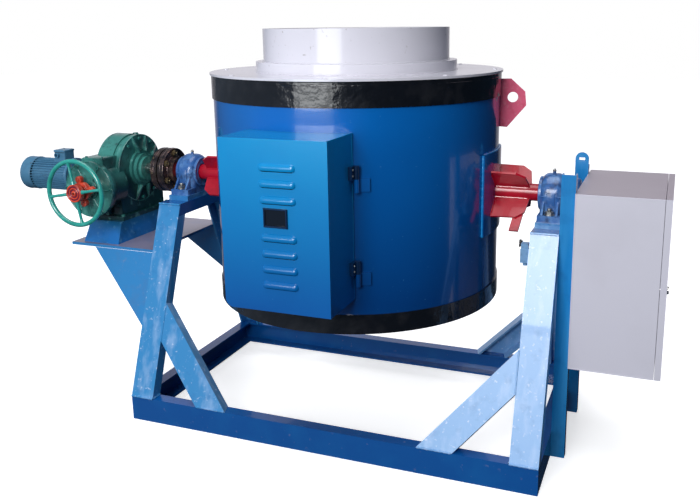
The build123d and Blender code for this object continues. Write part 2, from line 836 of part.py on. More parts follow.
case -= rod_x(output_shaft_radius + running_gap, drum_x0 - 10, drum_x0 + 20, 0, axis_z)
case -= rod_x(60, drum_x1 - wall - 1, drum_x1 + 1, 0, axis_z)
case -= rod_y(worm_shaft_radius + running_gap, case_back - 20, worm_back + 2, wheel_plane_x, worm_z)
case -= rod_x(motor_shaft_radius + running_gap, box_x0 - 1, box_x0 + 20, motor_plane_y, motor_z)
case -= rod_x(
    motor_shaft_radius + shaft_clearance, hand_x - neck_radius - 1, box_x0, motor_plane_y, motor_z
)
rib = block(box_x0 + box_skin - 1, hand_x + 20, rib_front, rib_back, hand_z - 26, hand_z + 26)
rib -= rod_y(hand_shaft_radius + running_gap, rib_front - 1, rib_back + 1, hand_x, hand_z)
case += rib


def screw(x, y, z, turn):
    head = Pos(0, 0, screw_head / 2) * Cylinder(screw_head_radius, screw_head)
    shank = Pos(0, 0, -screw_length / 2) * Cylinder(screw_radius, screw_length)
    socket = Pos(0, 0, screw_head) * extrude(RegularPolygon(4.5, 6), -4)
    return Pos(x, y, z) * turn * (head + shank - socket)


screws = []
for index in range(6):
    angle = math.radians(index * 60)
    x = hand_x + (front_cover_radius - 10) * math.cos(angle)
    z = hand_z + (front_cover_radius - 10) * math.sin(angle)
    screws.append(screw(x, front_cover_face, z, Rot(90, 0, 0)))
for sx in (-1, 1):
    for sy in (-1, 1):
        x = wheel_plane_x + sx * (drum_half + 10)
        y = sy * (drum_radius + 7)
        screws.append(screw(x, y, case_bottom + case_base, Rot(0, 0, 0)))
gearbox_screws = list(screws)
for item in gearbox_screws:
    case -= item
save("gearbox_case", case)
front_cover = rod_y(front_cover_radius, front_cover_face, neck_front, hand_x, hand_z)
front_cover += rod_y(36, front_cover_face - 8, front_cover_face, hand_x, hand_z)
front_cover -= rod_y(hand_shaft_radius + running_gap, front_cover_face - 20, 0, hand_x, hand_z)
front_cover -= rod_y(worm_shaft_radius + running_gap, worm_front - 2, 0, wheel_plane_x, worm_z)
for item in gearbox_screws:
    front_cover -= item
output_cover = rod_x(80, drum_x1, drum_x1 + 12, 0, axis_z)
output_cover += rod_x(66, drum_x1 + 12, drum_x1 + 27, 0, axis_z)
output_cover += rod_x(52, drum_x1 + 27, drum_x1 + 41, 0, axis_z)
output_cover -= rod_x(output_shaft_radius + running_gap, drum_x1 - 1, drum_x1 + 60, 0, axis_z)
save("gearbox_covers", front_cover, output_cover)

# Cast foot between the gearbox and the shelf
foot_low = Plane.XY.offset(shelf_top)
foot_high = Plane.XY.offset(case_bottom)
foot_mid = (drum_x0 + drum_x1) / 2
foot_low_face = foot_low * Pos(foot_mid + 7, -24) * Rectangle(
    drum_width + 2 * foot_flare_x, 2 * (drum_radius + foot_flare_y)
)
foot_high_face = foot_high * Pos(foot_mid, -8) * Rectangle(drum_width + 40, 2 * drum_radius + 52)
foot = loft([foot_low_face.face(), foot_high_face.face()])
foot -= block(drum_x0 + 4, drum_x1 - 4, -drum_radius + 10, drum_radius - 20, shelf_top - 1, case_bottom - 16)
for item in gearbox_screws:
    foot -= item
save("gearbox_foot", foot)

# Handwheel, hub and clutch star
rim_radius = handwheel_radius - handwheel_rim
rim = revolve(Plane.XZ * Pos(rim_radius, 0) * RegularPolygon(handwheel_rim, rim_facets), Axis.Z, 360)
spoke_reach = rim_radius - handwheel_hub_radius + 4
for index in range(spoke_count):
    angle = spoke_start + index * 360 / spoke_count
    spoke = Pos(rim_radius - spoke_reach / 2, 0, 0) * Rot(0, 90, 0) * Cylinder(spoke_radius, spoke_reach)
    rim += Rot(0, 0, angle) * spoke
rim = Pos(hand_x, handwheel_plane_y, hand_z) * Rot(90, 0, 0) * rim
hub_y0 = handwheel_plane_y - handwheel_hub_length / 2
hub_y1 = handwheel_plane_y + handwheel_hub_length / 2
hub_core = rod_y(handwheel_hub_radius, hub_y0, hub_y1, hand_x, hand_z)
handwheel = rim - hub_core
save("handwheel", handwheel)
hub = hub_core - rod_y(hand_shaft_radius, hand_front, hub_y1 + 1, hand_x, hand_z)
hub_groove = rod_y(handwheel_hub_radius - 7, hub_y0 - 1, hub_y0 + 4, hand_x, hand_z)
hub_groove -= rod_y(handwheel_hub_radius - 12, hub_y0 - 2, hub_y0 + 5, hand_x, hand_z)
hub -= hub_groove
save("handwheel_hub", hub)
star_y0 = clutch_plane_y - clutch_thickness / 2
star_y1 = clutch_plane_y + clutch_thickness / 2
star = rod_y(clutch_disc_radius, star_y0, star_y1, hand_x, hand_z)
star += rod_y(24, hub_y1, star_y0 + 1, hand_x, hand_z)
for index in range(clutch_lobes):
    angle = math.radians(spoke_start + index * 360 / clutch_lobes)
    x = hand_x + clutch_lobe_circle * math.cos(angle)
    z = hand_z + clutch_lobe_circle * math.sin(angle)
    star += rod_y(clutch_lobe_radius, star_y0, star_y1, x, z)
star -= rod_y(hand_shaft_radius + running_gap, hub_y1 - 1, star_y1 + 1, hand_x, hand_z)
save("clutch_star", star)

# Motor
flange_x1 = box_x0 - motor_adapter_length
flange_x0 = flange_x1 - motor_flange_thickness
body_x0 = flange_x0 - motor_body_length
cowl_x0 = body_x0 - motor_cowl_length
barrel_radius = motor_radius - motor_fin_depth
barrel = rod_x(barrel_radius, body_x0, flange_x0 + 1, motor_plane_y, motor_z)
barrel += rod_x(motor_flange_radius, flange_x0, flange_x1, motor_plane_y, motor_z)
adapter = rod_x(motor_adapter_radius, flange_x1 - 1, box_x0, motor_plane_y, motor_z)
adapter -= rod_y(neck_radius + casting_gap, neck_front, case_front + 31, hand_x, hand_z)
adapter = adapter.solids().sort_by(SortBy.VOLUME)[-1]
barrel += adapter
fin_blade = block(body_x0, flange_x0, -1.5, 1.5, barrel_radius - 2, motor_radius)
for index in range(motor_fin_count):
    angle = index * 360 / motor_fin_count
    barrel += Pos(0, motor_plane_y, motor_z) * Rot(angle, 0, 0) * fin_blade
box_x = flange_x0 - terminal_box_setback
box_seat = block(
    box_x - terminal_box_width / 2 - 2, box_x + terminal_box_width / 2 + 2,
    motor_plane_y - terminal_box_depth / 2 - 1, motor_plane_y + terminal_box_depth / 2 + 1,
    motor_z + barrel_radius - 16, motor_z + motor_radius,
)
barrel += box_seat
barrel -= rod_x(barrel_radius - 9, body_x0 + 12, flange_x0 - 10, motor_plane_y, motor_z)
barrel -= rod_x(motor_shaft_radius + running_gap, body_x0 - 1, box_x0 + 1, motor_plane_y, motor_z)
save("motor_body", barrel)
cowl = rod_x(motor_radius + 2, cowl_x0, body_x0, motor_plane_y, motor_z)
cowl -= rod_x(motor_radius, cowl_x0 + 3, body_x0 + 1, motor_plane_y, motor_z)
for ring in (18, 30, 42, 54):
    slot_ring = ring_x(ring + 4, ring, cowl_x0 - 1, cowl_x0 + 4, motor_plane_y, motor_z)
    bars = block(cowl_x0 - 2, cowl_x0 + 5, motor_plane_y - 3, motor_plane_y + 3, motor_z - 80, motor_z + 80)
    bars += block(cowl_x0 - 2, cowl_x0 + 5, motor_plane_y - 80, motor_plane_y + 80, motor_z - 3, motor_z + 3)
    cowl -= slot_ring - bars
save("motor_cowl", cowl)
terminal_z0 = motor_z + motor_radius
terminal_box = block(
    box_x - terminal_box_width / 2, box_x + terminal_box_width / 2,
    motor_plane_y - terminal_box_depth / 2, motor_plane_y + terminal_box_depth / 2,
    terminal_z0, terminal_z0 + terminal_box_height,
)
terminal_box = fillet(terminal_box.edges().filter_by(Axis.Z), 6)
gland_y = motor_plane_y - terminal_box_depth / 2
terminal_box += rod_y(11, gland_y - 12, gland_y + 1, box_x - 8, terminal_z0 + terminal_box_height / 2)
terminal_box -= rod_y(7, gland_y - 13, gland_y + 3, box_x - 8, terminal_z0 + terminal_box_height / 2)
save("terminal_box", terminal_box)
rotor = rod_x(motor_shaft_radius, body_x0 - 34, hand_x + 28, motor_plane_y, motor_z)
rotor += rod_x(barrel_radius - 16, body_x0 + 36, flange_x0 - 36, motor_plane_y, motor_z)
rotor += rod_x(motor_radius - 8, body_x0 - 26, body_x0 - 14, motor_plane_y, motor_z)
rotor += rod_x(motor_worm_radius - tooth_clearance / 2, hand_x - 24, hand_x + 24, motor_plane_y, motor_z)
for index in range(9):
    x = hand_x - 20 + 5 * index
    rotor -= ring_x(motor_worm_radius + 1, motor_shaft_radius, x - 1, x + 1, motor_plane_y, motor_z)
save("motor_rotor", rotor)

# Hinged hood on the front of the shell
hood_bottom = vessel_bottom + hood_lift
hood_top = hood_bottom + hood_height
hood_front = -shell_radius - hood_reach
window_centre_z = hood_bottom + window_lift
hood_outer = block(hood_x0, hood_x1, hood_front, -shell_radius / 2, hood_bottom, hood_top)
corner_edges = hood_outer.edges().filter_by(Axis.Y).group_by(Axis.Z)[0].sort_by(Axis.X)
hood_outer = fillet(corner_edges[0], hood_corner)
hood_inner = block(
    hood_x0 + hood_sheet, hood_x1 - hood_sheet, hood_front + hood_sheet, 0,
    hood_bottom + hood_sheet, hood_top - hood_sheet,
)
inner_edges = hood_inner.edges().filter_by(Axis.Y).group_by(Axis.Z)[0].sort_by(Axis.X)
hood_inner = fillet(inner_edges[0], hood_corner - hood_sheet)
hood_seat = shell_radius + hood_clearance
hood = hood_outer - hood_inner - rod_z(hood_seat, 0, 2 * axis_z)
louvre_half = math.sqrt(louvre_radius ** 2 - louvre_sink ** 2)
louvre_depth = louvre_radius - louvre_sink
louvre_rows = []
for index in range(upper_louvres):
    first = window_centre_z + window_height / 2 + louvre_half + 9
    louvre_rows.append(first + index * louvre_pitch)
for index in range(lower_louvres):
    first = window_centre_z - window_height / 2 - louvre_half - 22
    louvre_rows.append(first - index * louvre_pitch)


def capsule(radius, z):
    half = louvre_width / 2 - louvre_half
    y = hood_front + louvre_sink
    shape = rod_x(radius, louvre_centre_x - half, louvre_centre_x + half, y, z)
    for side in (-1, 1):
        shape += Pos(louvre_centre_x + side * half, y, z) * Sphere(radius)
    return shape


for z in louvre_rows:
    bump = capsule(louvre_radius, z) & block(
        hood_x0, hood_x1, hood_front - louvre_depth - 1, hood_front + 1, hood_bottom, hood_top
    )
    hood += bump
for z in louvre_rows:
    mouth = block(
        hood_x0, hood_x1, hood_front - louvre_depth - 1, hood_front,
        z - louvre_half - 1, z - louvre_half + louvre_mouth,
    )
    hood -= capsule(louvre_radius - louvre_sheet, z) + mouth
window_x0 = window_centre_x - window_width / 2
window_x1 = window_centre_x + window_width / 2
window_z0 = window_centre_z - window_height / 2
window_z1 = window_centre_z + window_height / 2
hood -= block(
    window_x0 + 8, window_x1 - 8, hood_front - 1, hood_front + hood_sheet + 1, window_z0 + 8, window_z1 - 8
)
save("hood_cover", hood)
frame_depth = 5.0
window = block(window_x0, window_x1, hood_front - frame_depth, hood_front, window_z0, window_z1)
window -= block(
    window_x0 + 8, window_x1 - 8, hood_front - frame_depth - 1, hood_front - frame_depth + 2,
    window_z0 + 8, window_z1 - 8,
)
save("hood_window", window)

# Hood hinges with one half on the shell and one half on the hood
knuckle = hinge_height / 2 - 0.5
hinge_reach = shell_radius + hinge_standoff
hinge_y = -math.sqrt(hinge_reach ** 2 - hinge_x ** 2)
hinge_azimuth = math.degrees(math.atan2(hinge_y, hinge_x))
lower_hinge_z = hood_bottom + lower_hinge_lift
upper_hinge_z = hood_bottom + upper_hinge_lift
shell_halves = []
hood_halves = []
for z0 in (lower_hinge_z, upper_hinge_z):
    z1 = z0 + knuckle
    z2 = z0 + hinge_height - knuckle
    z3 = z0 + hinge_height
    leaf = block(shell_radius - 12, shell_radius + 6, 2, 44, z0, z1)
    leaf += block(shell_radius - 12, hinge_reach, -5, 5, z0, z1)
    leaf = Rot(0, 0, hinge_azimuth) * leaf
    leaf = leaf + rod_z(hinge_barrel_radius, z0, z1, hinge_x, hinge_y) - rod_z(shell_radius, 0, 2 * axis_z)
    leaf += rod_z(hinge_pin_radius, z1 - 1, z3 - 6, hinge_x, hinge_y)
    shell_halves.append(leaf)
    plate = block(hood_x1, hinge_x - 4, hinge_y - 34, hinge_y + 4, z2, z3)
    plate += rod_z(hinge_barrel_radius, z2, z3, hinge_x, hinge_y)
    plate -= rod_z(hinge_pin_radius + running_gap, z2 - 1, z3 - 5, hinge_x, hinge_y)
    hood_halves.append(plate)
save("hinge_shell_halves", *shell_halves)
save("hinge_hood_halves", *hood_halves)

# Coil terminals under the hood
board_y0 = hood_front + board_setback
board_y1 = board_y0 + board_thickness
board_z0 = hood_bottom + board_lift
board_z1 = hood_top - board_drop
board = block(-board_half_width, board_half_width, board_y0, board_y1, board_z0, board_z1)
post_x = board_half_width - board_post_inset
for x in (-post_x, post_x):
    for z in (board_z0 + board_inset, board_z1 - board_inset):
        post = rod_y(stud_radius, board_y1, 0, x, z) - rod_z(shell_radius, 0, 2 * axis_z)
        board += post.solids().sort_by(Axis.Y)[0]
stud_rows = (board_z0 + stud_inset, board_z1 - stud_inset)
for z in stud_rows:
    board -= rod_y(stud_radius, board_y0 - 1, board_y1 + 1, stud_x, z)
save("terminal_board", board)
studs = []
for z in stud_rows:
    stud = rod_y(stud_radius, board_y0 - 46, 0, stud_x, z) - rod_z(shell_radius, 0, 2 * axis_z)
    stud = stud.solids().sort_by(Axis.Y)[0]
    stud += block(stud_x - 24, stud_x + 24, board_y0 - 22, board_y0 - 16, z - 20, z + 50)
    studs.append(stud)
save("coil_terminals", *studs)

# Control cabinet on the uprights
cab_x0 = cabinet_back_x
cab_x1 = cab_x0 + cabinet_depth
cab_y0 = cabinet_front_y
cab_y1 = cab_y0 + cabinet_width
cab_z0 = cabinet_bottom
cab_z1 = cab_z0 + cabinet_height
door_x0 = cab_x1 - door_thickness
box_x1 = door_x0 - door_gap
sheet = cabinet_sheet
back_panel = block(cab_x0, cab_x0 + sheet, cab_y0, cab_y1, cab_z0, cab_z1)
side_x = cab_x0 + sheet
lock_side_panel = block(side_x, box_x1, cab_y0, cab_y0 + sheet, cab_z0, cab_z1)
rear_panel = block(side_x, box_x1, cab_y1 - sheet, cab_y1, cab_z0, cab_z1)
bottom_panel = block(side_x, box_x1, cab_y0 + sheet, cab_y1 - sheet, cab_z0, cab_z0 + sheet)
top_panel = block(side_x, box_x1, cab_y0 + sheet, cab_y1 - sheet, cab_z1 - sheet, cab_z1)
lip_x = box_x1 - sheet
lips = [
    block(lip_x, box_x1, cab_y0 + sheet, cab_y0 + cabinet_lip, cab_z0 + sheet, cab_z1 - sheet),
    block(lip_x, box_x1, cab_y1 - cabinet_lip, cab_y1 - sheet, cab_z0 + sheet, cab_z1 - sheet),
]
for z0, z1 in ((cab_z0 + sheet, cab_z0 + cabinet_lip), (cab_z1 - cabinet_lip, cab_z1 - sheet)):
    lips.append(block(lip_x, box_x1, cab_y0 + cabinet_lip, cab_y1 - cabinet_lip, z0, z1))
cabinet_screws = []
for y in (front_upright_y + small_channel_flange / 2, rear_upright_y + small_channel_flange / 2):
    for z in (cab_z0 + 60, cab_z1 - 60):
        cabinet_screws.append(screw(cab_x0 + sheet, y, z, Rot(0, 90, 0)))
gland_x = cab_x0 + 90
gland_y0 = cab_y0 + 110
gland_places = [(gland_x, gland_y0 + index * gland_pitch) for index in range(3)]
for x, y in gland_places:
    bottom_panel -= rod_z(gland_bore + 3, cab_z0 - 1, cab_z0 + sheet + 1, x, y)
for item in cabinet_screws:
    back_panel -= item
    front_upright -= item
    rear_upright -= item
save("cabinet_uprights", front_upright, rear_upright)
hinge_line_y = cab_y1 + door_hinge_offset
hinge_line_x = box_x1
knuckle_halves = []
knuckle_spans = ((cab_z0 + 70, cab_z0 + 130), (cab_z1 - 130, cab_z1 - 70))
for z0, z1 in knuckle_spans:
    mid = (z0 + z1) / 2
    knuckle_half = rod_z(door_knuckle_radius, z0, mid - 0.5, hinge_line_x, hinge_line_y)
    knuckle_half += block(hinge_line_x - 26, hinge_line_x - 2, cab_y1, cab_y1 + 4, z0, mid - 0.5)
    knuckle_half += block(hinge_line_x - 6, hinge_line_x, cab_y1, hinge_line_y, z0, mid - 0.5)
    knuckle_halves.append(knuckle_half)
save("cabinet_box", back_panel, lock_side_panel, rear_panel, bottom_panel, top_panel, *lips, *knuckle_halves)
door = block(door_x0, cab_x1, cab_y0, cab_y1, cab_z0, cab_z1)
door -= block(
    door_x0 - 1, cab_x1 - sheet, cab_y0 + sheet, cab_y1 - sheet, cab_z0 + sheet, cab_z1 - sheet
)
lock_y = cab_y0 + lock_setback
lock_z = (cab_z0 + cab_z1) / 2
for z0, z1 in knuckle_spans:
    mid = (z0 + z1) / 2
    door += rod_z(door_knuckle_radius, mid + 0.5, z1, hinge_line_x, hinge_line_y)
    door += block(door_x0 + 0.5, door_x0 + 20, cab_y1, cab_y1 + 4, mid + 0.5, z1)
    door += block(hinge_line_x, door_x0 + 6, cab_y1 + 0.5, hinge_line_y, mid + 0.5, z1)
door -= rod_x(9 + running_gap, cab_x1 - sheet - 1, cab_x1 + 1, lock_y, lock_z)
save("cabinet_door", door)
lock = rod_x(lock_radius, cab_x1, cab_x1 + 6, lock_y, lock_z)
lock += rod_x(9, door_x0 - 10, cab_x1 + 1, lock_y, lock_z)
lock -= block(cab_x1 + 3, cab_x1 + 7, lock_y - 2, lock_y + 2, lock_z - 9, lock_z + 9)
lock += block(door_x0 - 12, door_x0 - 8, lock_y - 8, lock_y + 8, lock_z - 9, lock_z + 24)
save("cabinet_lock", lock)
plate_x = cab_x0 + 20
mounting = block(plate_x, plate_x + 3, cab_y0 + 30, cab_y1 - 30, cab_z0 + 40, cab_z1 - 40)
for y in (cab_y0 + 45, cab_y1 - 45):
    for z in (cab_z0 + 120, cab_z1 - 120):
        mounting += rod_x(5, cab_x0 + sheet, plate_x, y, z)
save("mounting_plate", mounting)
gear = []
gear_x = plate_x + 3
for index in range(3):
    y = cab_y0 + 60 + index * 62
    gear.append(block(gear_x, gear_x + 85, y, y + 48, cab_z1 - 190, cab_z1 - 100))
    gear.append(block(gear_x, gear_x + 100, y, y + 48, cab_z1 - 330, cab_z1 - 240))
gear.append(block(gear_x, gear_x + 70, cab_y1 - 220, cab_y1 - 60, cab_z0 + 80, cab_z0 + 240))
gear.append(block(gear_x, gear_x + 60, cab_y0 + 60, cab_y1 - 60, cab_z0 + 45, cab_z0 + 62))
save("control_gear", *gear)
glands = []
for x, y in gland_places:
    gland = rod_z(gland_radius, cab_z0 - gland_length, cab_z0, x, y)
    gland += rod_z(gland_bore + 3, cab_z0 - 1, cab_z0 + sheet + 5, x, y)
    gland -= rod_z(gland_bore, cab_z0 - gland_length - 1, cab_z0 + sheet + 6, x, y)
    glands.append(gland)
save("cable_glands", *glands)
save("cap_screws", *gearbox_screws, *cabinet_screws)

# Limit switch on the inner side of the right front leg
switch_x1 = leg_inner_x
switch_x0 = switch_x1 - switch_width
switch_body_bottom = beam_top - switch_drop
switch_y1 = leg_face_y(switch_body_bottom + switch_body_height) + switch_depth + 10
switch_y0 = switch_y1 - switch_depth
head_z0 = switch_body_bottom + switch_body_height
head_z1 = head_z0 + switch_head_height
switch_body = block(switch_x0, switch_x1, switch_y0, switch_y1, switch_body_bottom, head_z0)
switch_body += block(switch_x0 + 2, switch_x1 - 4, switch_y0 + 2, switch_y1 - 2, head_z0, head_z1)
pivot_y = (switch_y0 + switch_y1) / 2
pivot_z = (head_z0 + head_z1) / 2
switch_body -= rod_x(4 + running_gap, switch_x0, switch_x0 + 14, pivot_y, pivot_z)
switch_gland_x = (switch_x0 + switch_x1) / 2
switch_body += rod_z(8, switch_body_bottom - 12, switch_body_bottom, switch_gland_x, pivot_y)
save("limit_switch", switch_body)
lever_x1 = switch_x0 - 2
lever_x0 = lever_x1 - lever_thickness
lever = rod_x(4, lever_x0, switch_x0 + 13, pivot_y, pivot_z)
lever += block(lever_x0, lever_x1, pivot_y - 6, pivot_y + lever_length, pivot_z - 5, pivot_z + 5)
lever += rod_x(3, lever_x0 - roller_width - 1, lever_x0, pivot_y + lever_length, pivot_z)
lever += rod_x(roller_radius, lever_x0 - roller_width, lever_x0 - 1, pivot_y + lever_length, pivot_z)
save("switch_lever", lever)
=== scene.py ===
import math
import bpy
from mathutils import Matrix, Vector


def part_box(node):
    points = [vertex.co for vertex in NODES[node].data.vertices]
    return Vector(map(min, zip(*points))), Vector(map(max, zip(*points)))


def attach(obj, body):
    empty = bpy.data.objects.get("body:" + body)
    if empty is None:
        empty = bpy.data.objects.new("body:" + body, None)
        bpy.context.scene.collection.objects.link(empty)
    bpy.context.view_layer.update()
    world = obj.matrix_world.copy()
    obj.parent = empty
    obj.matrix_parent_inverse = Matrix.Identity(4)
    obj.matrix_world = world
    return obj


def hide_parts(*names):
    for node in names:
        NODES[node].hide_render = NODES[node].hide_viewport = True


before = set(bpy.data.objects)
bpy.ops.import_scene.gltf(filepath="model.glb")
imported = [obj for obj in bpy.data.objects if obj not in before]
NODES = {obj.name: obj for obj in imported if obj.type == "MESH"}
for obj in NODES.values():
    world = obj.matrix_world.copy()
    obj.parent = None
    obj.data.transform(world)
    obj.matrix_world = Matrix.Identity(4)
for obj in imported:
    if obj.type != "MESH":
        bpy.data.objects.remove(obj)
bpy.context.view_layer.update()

bl_info = {
    "name": "Tilting induction furnace",
    "version": (1, 0, 0),
    "blender": (4, 5, 0),
    "location": "3D View > Sidebar > Furnace",
    "description": "Dresses the frame of a tilting induction melting furnace",
    "category": "Object",
}

# Places and radii of the solids that the pieces are fitted to, in metres
AXIS_Z = 0.950
SHELL_R = 0.551
HAND_X = -1.125
HAND_Z = 0.895
WHEEL_Y = -0.335
GEAR_X = -1.105
MOTOR_Y = -0.125
MOTOR_Z = 0.92504
RIM_R = 0.1335
HUB_R = 0.0378
SPOKE_ANGLES = (10, 100, 190, 280)
STAR_FACE_Y = -0.303
DRUM_FACE_X = -1.045
DRUM_BACK_X = -1.165
COVER_Y = -0.250
BOX_LEFT_X = -1.175
BOX_RIGHT_X = -1.065
BOX_TOP_Z = 1.020
BEARING_X = 0.771
CABINET_FRONT = -0.200
CABINET_BACK = 0.286
CABINET_FOOT = 0.360
CABINET_TOP = 0.995

# The camera is the one fitted to the photograph: place in metres, turn in degrees
VIEW_PLACE = (1.1806, -2.9125, 1.5647)
VIEW_TURN = (20.873, -12.709, -0.629)
FOCAL = 800.245
CENTRE_PX = (375.187, 203.935)
PICTURE = (700.0, 500.0)

LIGHT_AIM = (0.0, 0.0, 0.75)
# Name, place, power, size, colour and whether the light shows in reflections
LIGHTS = (
    ("key", (0.1, -5.2, 3.2), 180.0, (2.6, 1.8), (1.0, 1.0, 1.0), True),
    ("window", (-0.9, -5.4, 1.5), 62.0, (2.8, 1.5), (0.96, 0.99, 1.0), True),
    ("left", (-4.6, -2.2, 1.8), 28.0, (1.2, 2.4), (0.94, 0.98, 1.0), False),
    ("rear", (-1.0, 4.5, 3.6), 120.0, (4.0, 1.6), (1.0, 1.0, 1.0), False),
)
SUN_POWER = 1.4
SUN_ANGLE = 50
FLOOR_GLOW = 0.62
GLOW_SIDE = (-0.72, -0.55, 0.42)
BACK_SIDE = (-0.36, 0.91, 0.16)
WORLD_DARK = (0.010, 0.020, 0.036)
WORLD_GLOW = (0.18, 0.22, 0.28)
WORLD_BACK = (0.60, 0.58, 0.62)

# Names of the node groups
PEEL = "Orange peel"
CAST = "Cast skin"
WRINKLE = "Paint wrinkles"
GRIME_AND_PAINTED_LIGHT = "Grime and painted light"
STREAK = "Brush streaks"
FADE = "Fade along an axis"

# Starting values of the groups
GREY = (0.5, 0.5, 0.5, 1.0)
UP = (0.0, 0.0, 1.0)
ACROSS = (1.0, 0.0, 0.0)


# Node groups

def socket_kind(value):
    if isinstance(value, float):
        return "NodeSocketFloat"
    return "NodeSocketColor" if len(value) == 4 else "NodeSocketVector"


def new_group(name, inputs, output, kind):
    tree = bpy.data.node_groups.new(name, "ShaderNodeTree")
    for label, value in inputs.items():
        socket = tree.interface.new_socket(
            name=label, in_out="INPUT", socket_type=socket_kind(value)
        )
        socket.default_value = value
    tree.interface.new_socket(name=output, in_out="OUTPUT", socket_type=kind)
    source = tree.nodes.new("NodeGroupInput")
    sink = tree.nodes.new("NodeGroupOutput")
    coords = tree.nodes.new("ShaderNodeTexCoord")
    return tree, source.outputs, sink.inputs[output], coords.outputs["Object"]


def bump_group(name, detail, distance):
    inputs = {"Scale": 100.0, "Strength": 0.3}
    tree, source, sink, place = new_group(name, inputs, "Normal", "NodeSocketVector")
    noise = tree.nodes.new("ShaderNodeTexNoise")
    noise.inputs["Detail"].default_value = detail
    bump = tree.nodes.new("ShaderNodeBump")
    bump.inputs["Distance"].default_value = distance
    link = tree.links.new
    link(place, noise.inputs["Vector"])
    link(source["Scale"], noise.inputs["Scale"])
    link(noise.outputs["Fac"], bump.inputs["Height"])
    link(source["Strength"], bump.inputs["Strength"])
    link(bump.outputs["Normal"], sink)


def mix_colours(tree, factor, first, second, target):
    mix = tree.nodes.new("ShaderNodeMix")
    mix.data_type = "RGBA"
    tree.links.new(factor, mix.inputs[0])
    tree.links.new(first, mix.inputs[6])
    tree.links.new(second, mix.inputs[7])
    tree.links.new(mix.outputs[2], target)


def patch_group(name, stretch, detail):
    inputs = {
        "Colour": GREY, "Patch colour": GREY, "Scale": 8.0, "Start": 0.45, "End": 0.75,
        "Amount": 0.6,
    }
    tree, source, sink, place = new_group(name, inputs, "Colour", "NodeSocketColor")
    mapping = tree.nodes.new("ShaderNodeMapping")
    mapping.inputs["Scale"].default_value = stretch
    noise = tree.nodes.new("ShaderNodeTexNoise")
    noise.inputs["Detail"].default_value = detail
    spread = tree.nodes.new("ShaderNodeMapRange")
    link = tree.links.new
    link(place, mapping.inputs["Vector"])
    link(mapping.outputs["Vector"], noise.inputs["Vector"])
    link(source["Scale"], noise.inputs["Scale"])
    link(noise.outputs["Fac"], spread.inputs["Value"])
    link(source["Start"], spread.inputs["From Min"])
    link(source["End"], spread.inputs["From Max"])
    link(source["Amount"], spread.inputs["To Max"])
    mix_colours(tree, spread.outputs["Result"], source["Colour"], source["Patch colour"], sink)


# A fade paints light and shade: it moves a colour towards a far colour along an axis
def fade_group():
    inputs = {"Colour": GREY, "Far colour": GREY, "Start": 0.5, "End": 1.4, "Axis": UP}
    tree, source, sink, place = new_group(FADE, inputs, "Colour", "NodeSocketColor")
    along = tree.nodes.new("ShaderNodeVectorMath")
    along.operation = "DOT_PRODUCT"
    spread = tree.nodes.new("ShaderNodeMapRange")
    link = tree.links.new
    link(place, along.inputs[0])
    link(source["Axis"], along.inputs[1])
    link(along.outputs["Value"], spread.inputs["Value"])
    link(source["Start"], spread.inputs["From Min"])
    link(source["End"], spread.inputs["From Max"])
    mix_colours(tree, spread.outputs["Result"], source["Colour"], source["Far colour"], sink)


def make_groups():
    bump_group(PEEL, 2.0, 0.0006)
    bump_group(CAST, 5.0, 0.0012)
    bump_group(WRINKLE, 3.0, 0.0060)
    # Patches of dirt; in the gearbox and bearing paints they also stand for painted shade and painted
    # highlights
    patch_group(GRIME_AND_PAINTED_LIGHT, (1.0, 1.0, 1.0), 6.0)
    patch_group(STREAK, (1.0, 1.0, 0.12), 5.0)
    fade_group()


# Materials

MATERIALS = {}
DUST = (0.30, 0.28, 0.34)
DARK = (0.010, 0.014, 0.022)


def opaque(colour):
    return (*colour, 1.0)


def place_group(tree, kind, values):
    node = tree.nodes.new("ShaderNodeGroup")
    node.node_tree = bpy.data.node_groups[kind]
    for label, value in values.items():
        node.inputs[label].default_value = value
    return node


def material(
    name, colour, rough, metal=0.0, coat=0.0, bump=None, fade=None, streak=None, grime_and_painted_light=()
):
    """Paint or metal; a fade, which paints light and shade along an axis, is (far colour, start, end,
    axis), and a streak or a patch of dirt, painted shade or painted highlight is (colour, scale, start,
    end, amount)."""
    mat = bpy.data.materials.new(name)
    mat.use_nodes = True
    tree = mat.node_tree
    shader = tree.nodes["Principled BSDF"]
    shader.inputs["Base Color"].default_value = opaque(colour)
    shader.inputs["Roughness"].default_value = rough
    shader.inputs["Metallic"].default_value = metal
    shader.inputs["Coat Weight"].default_value = coat
    layers = []
    if fade:
        far, start, end, axis = fade
        values = {"Far colour": opaque(far), "Start": start, "End": end, "Axis": axis}
        layers.append((FADE, values))
    patches = [(STREAK, streak)] if streak else []
    patches += [(GRIME_AND_PAINTED_LIGHT, patch) for patch in grime_and_painted_light]
    for kind, (patch, scale, start, end, amount) in patches:
        values = {"Patch colour": opaque(patch), "Scale": scale, "Start": start, "End": end}
        values["Amount"] = amount
        layers.append((kind, values))
    last = None
    for kind, values in layers:
        node = place_group(tree, kind, values)
        node.inputs["Colour"].default_value = opaque(colour)
        if last:
            tree.links.new(last, node.inputs["Colour"])
        last = node.outputs["Colour"]
    if last:
        tree.links.new(last, shader.inputs["Base Color"])
    if bump:
        kind, scale, strength = bump
        node = place_group(tree, kind, {"Scale": scale, "Strength": strength})
        tree.links.new(node.outputs["Normal"], shader.inputs["Normal"])
    return mat


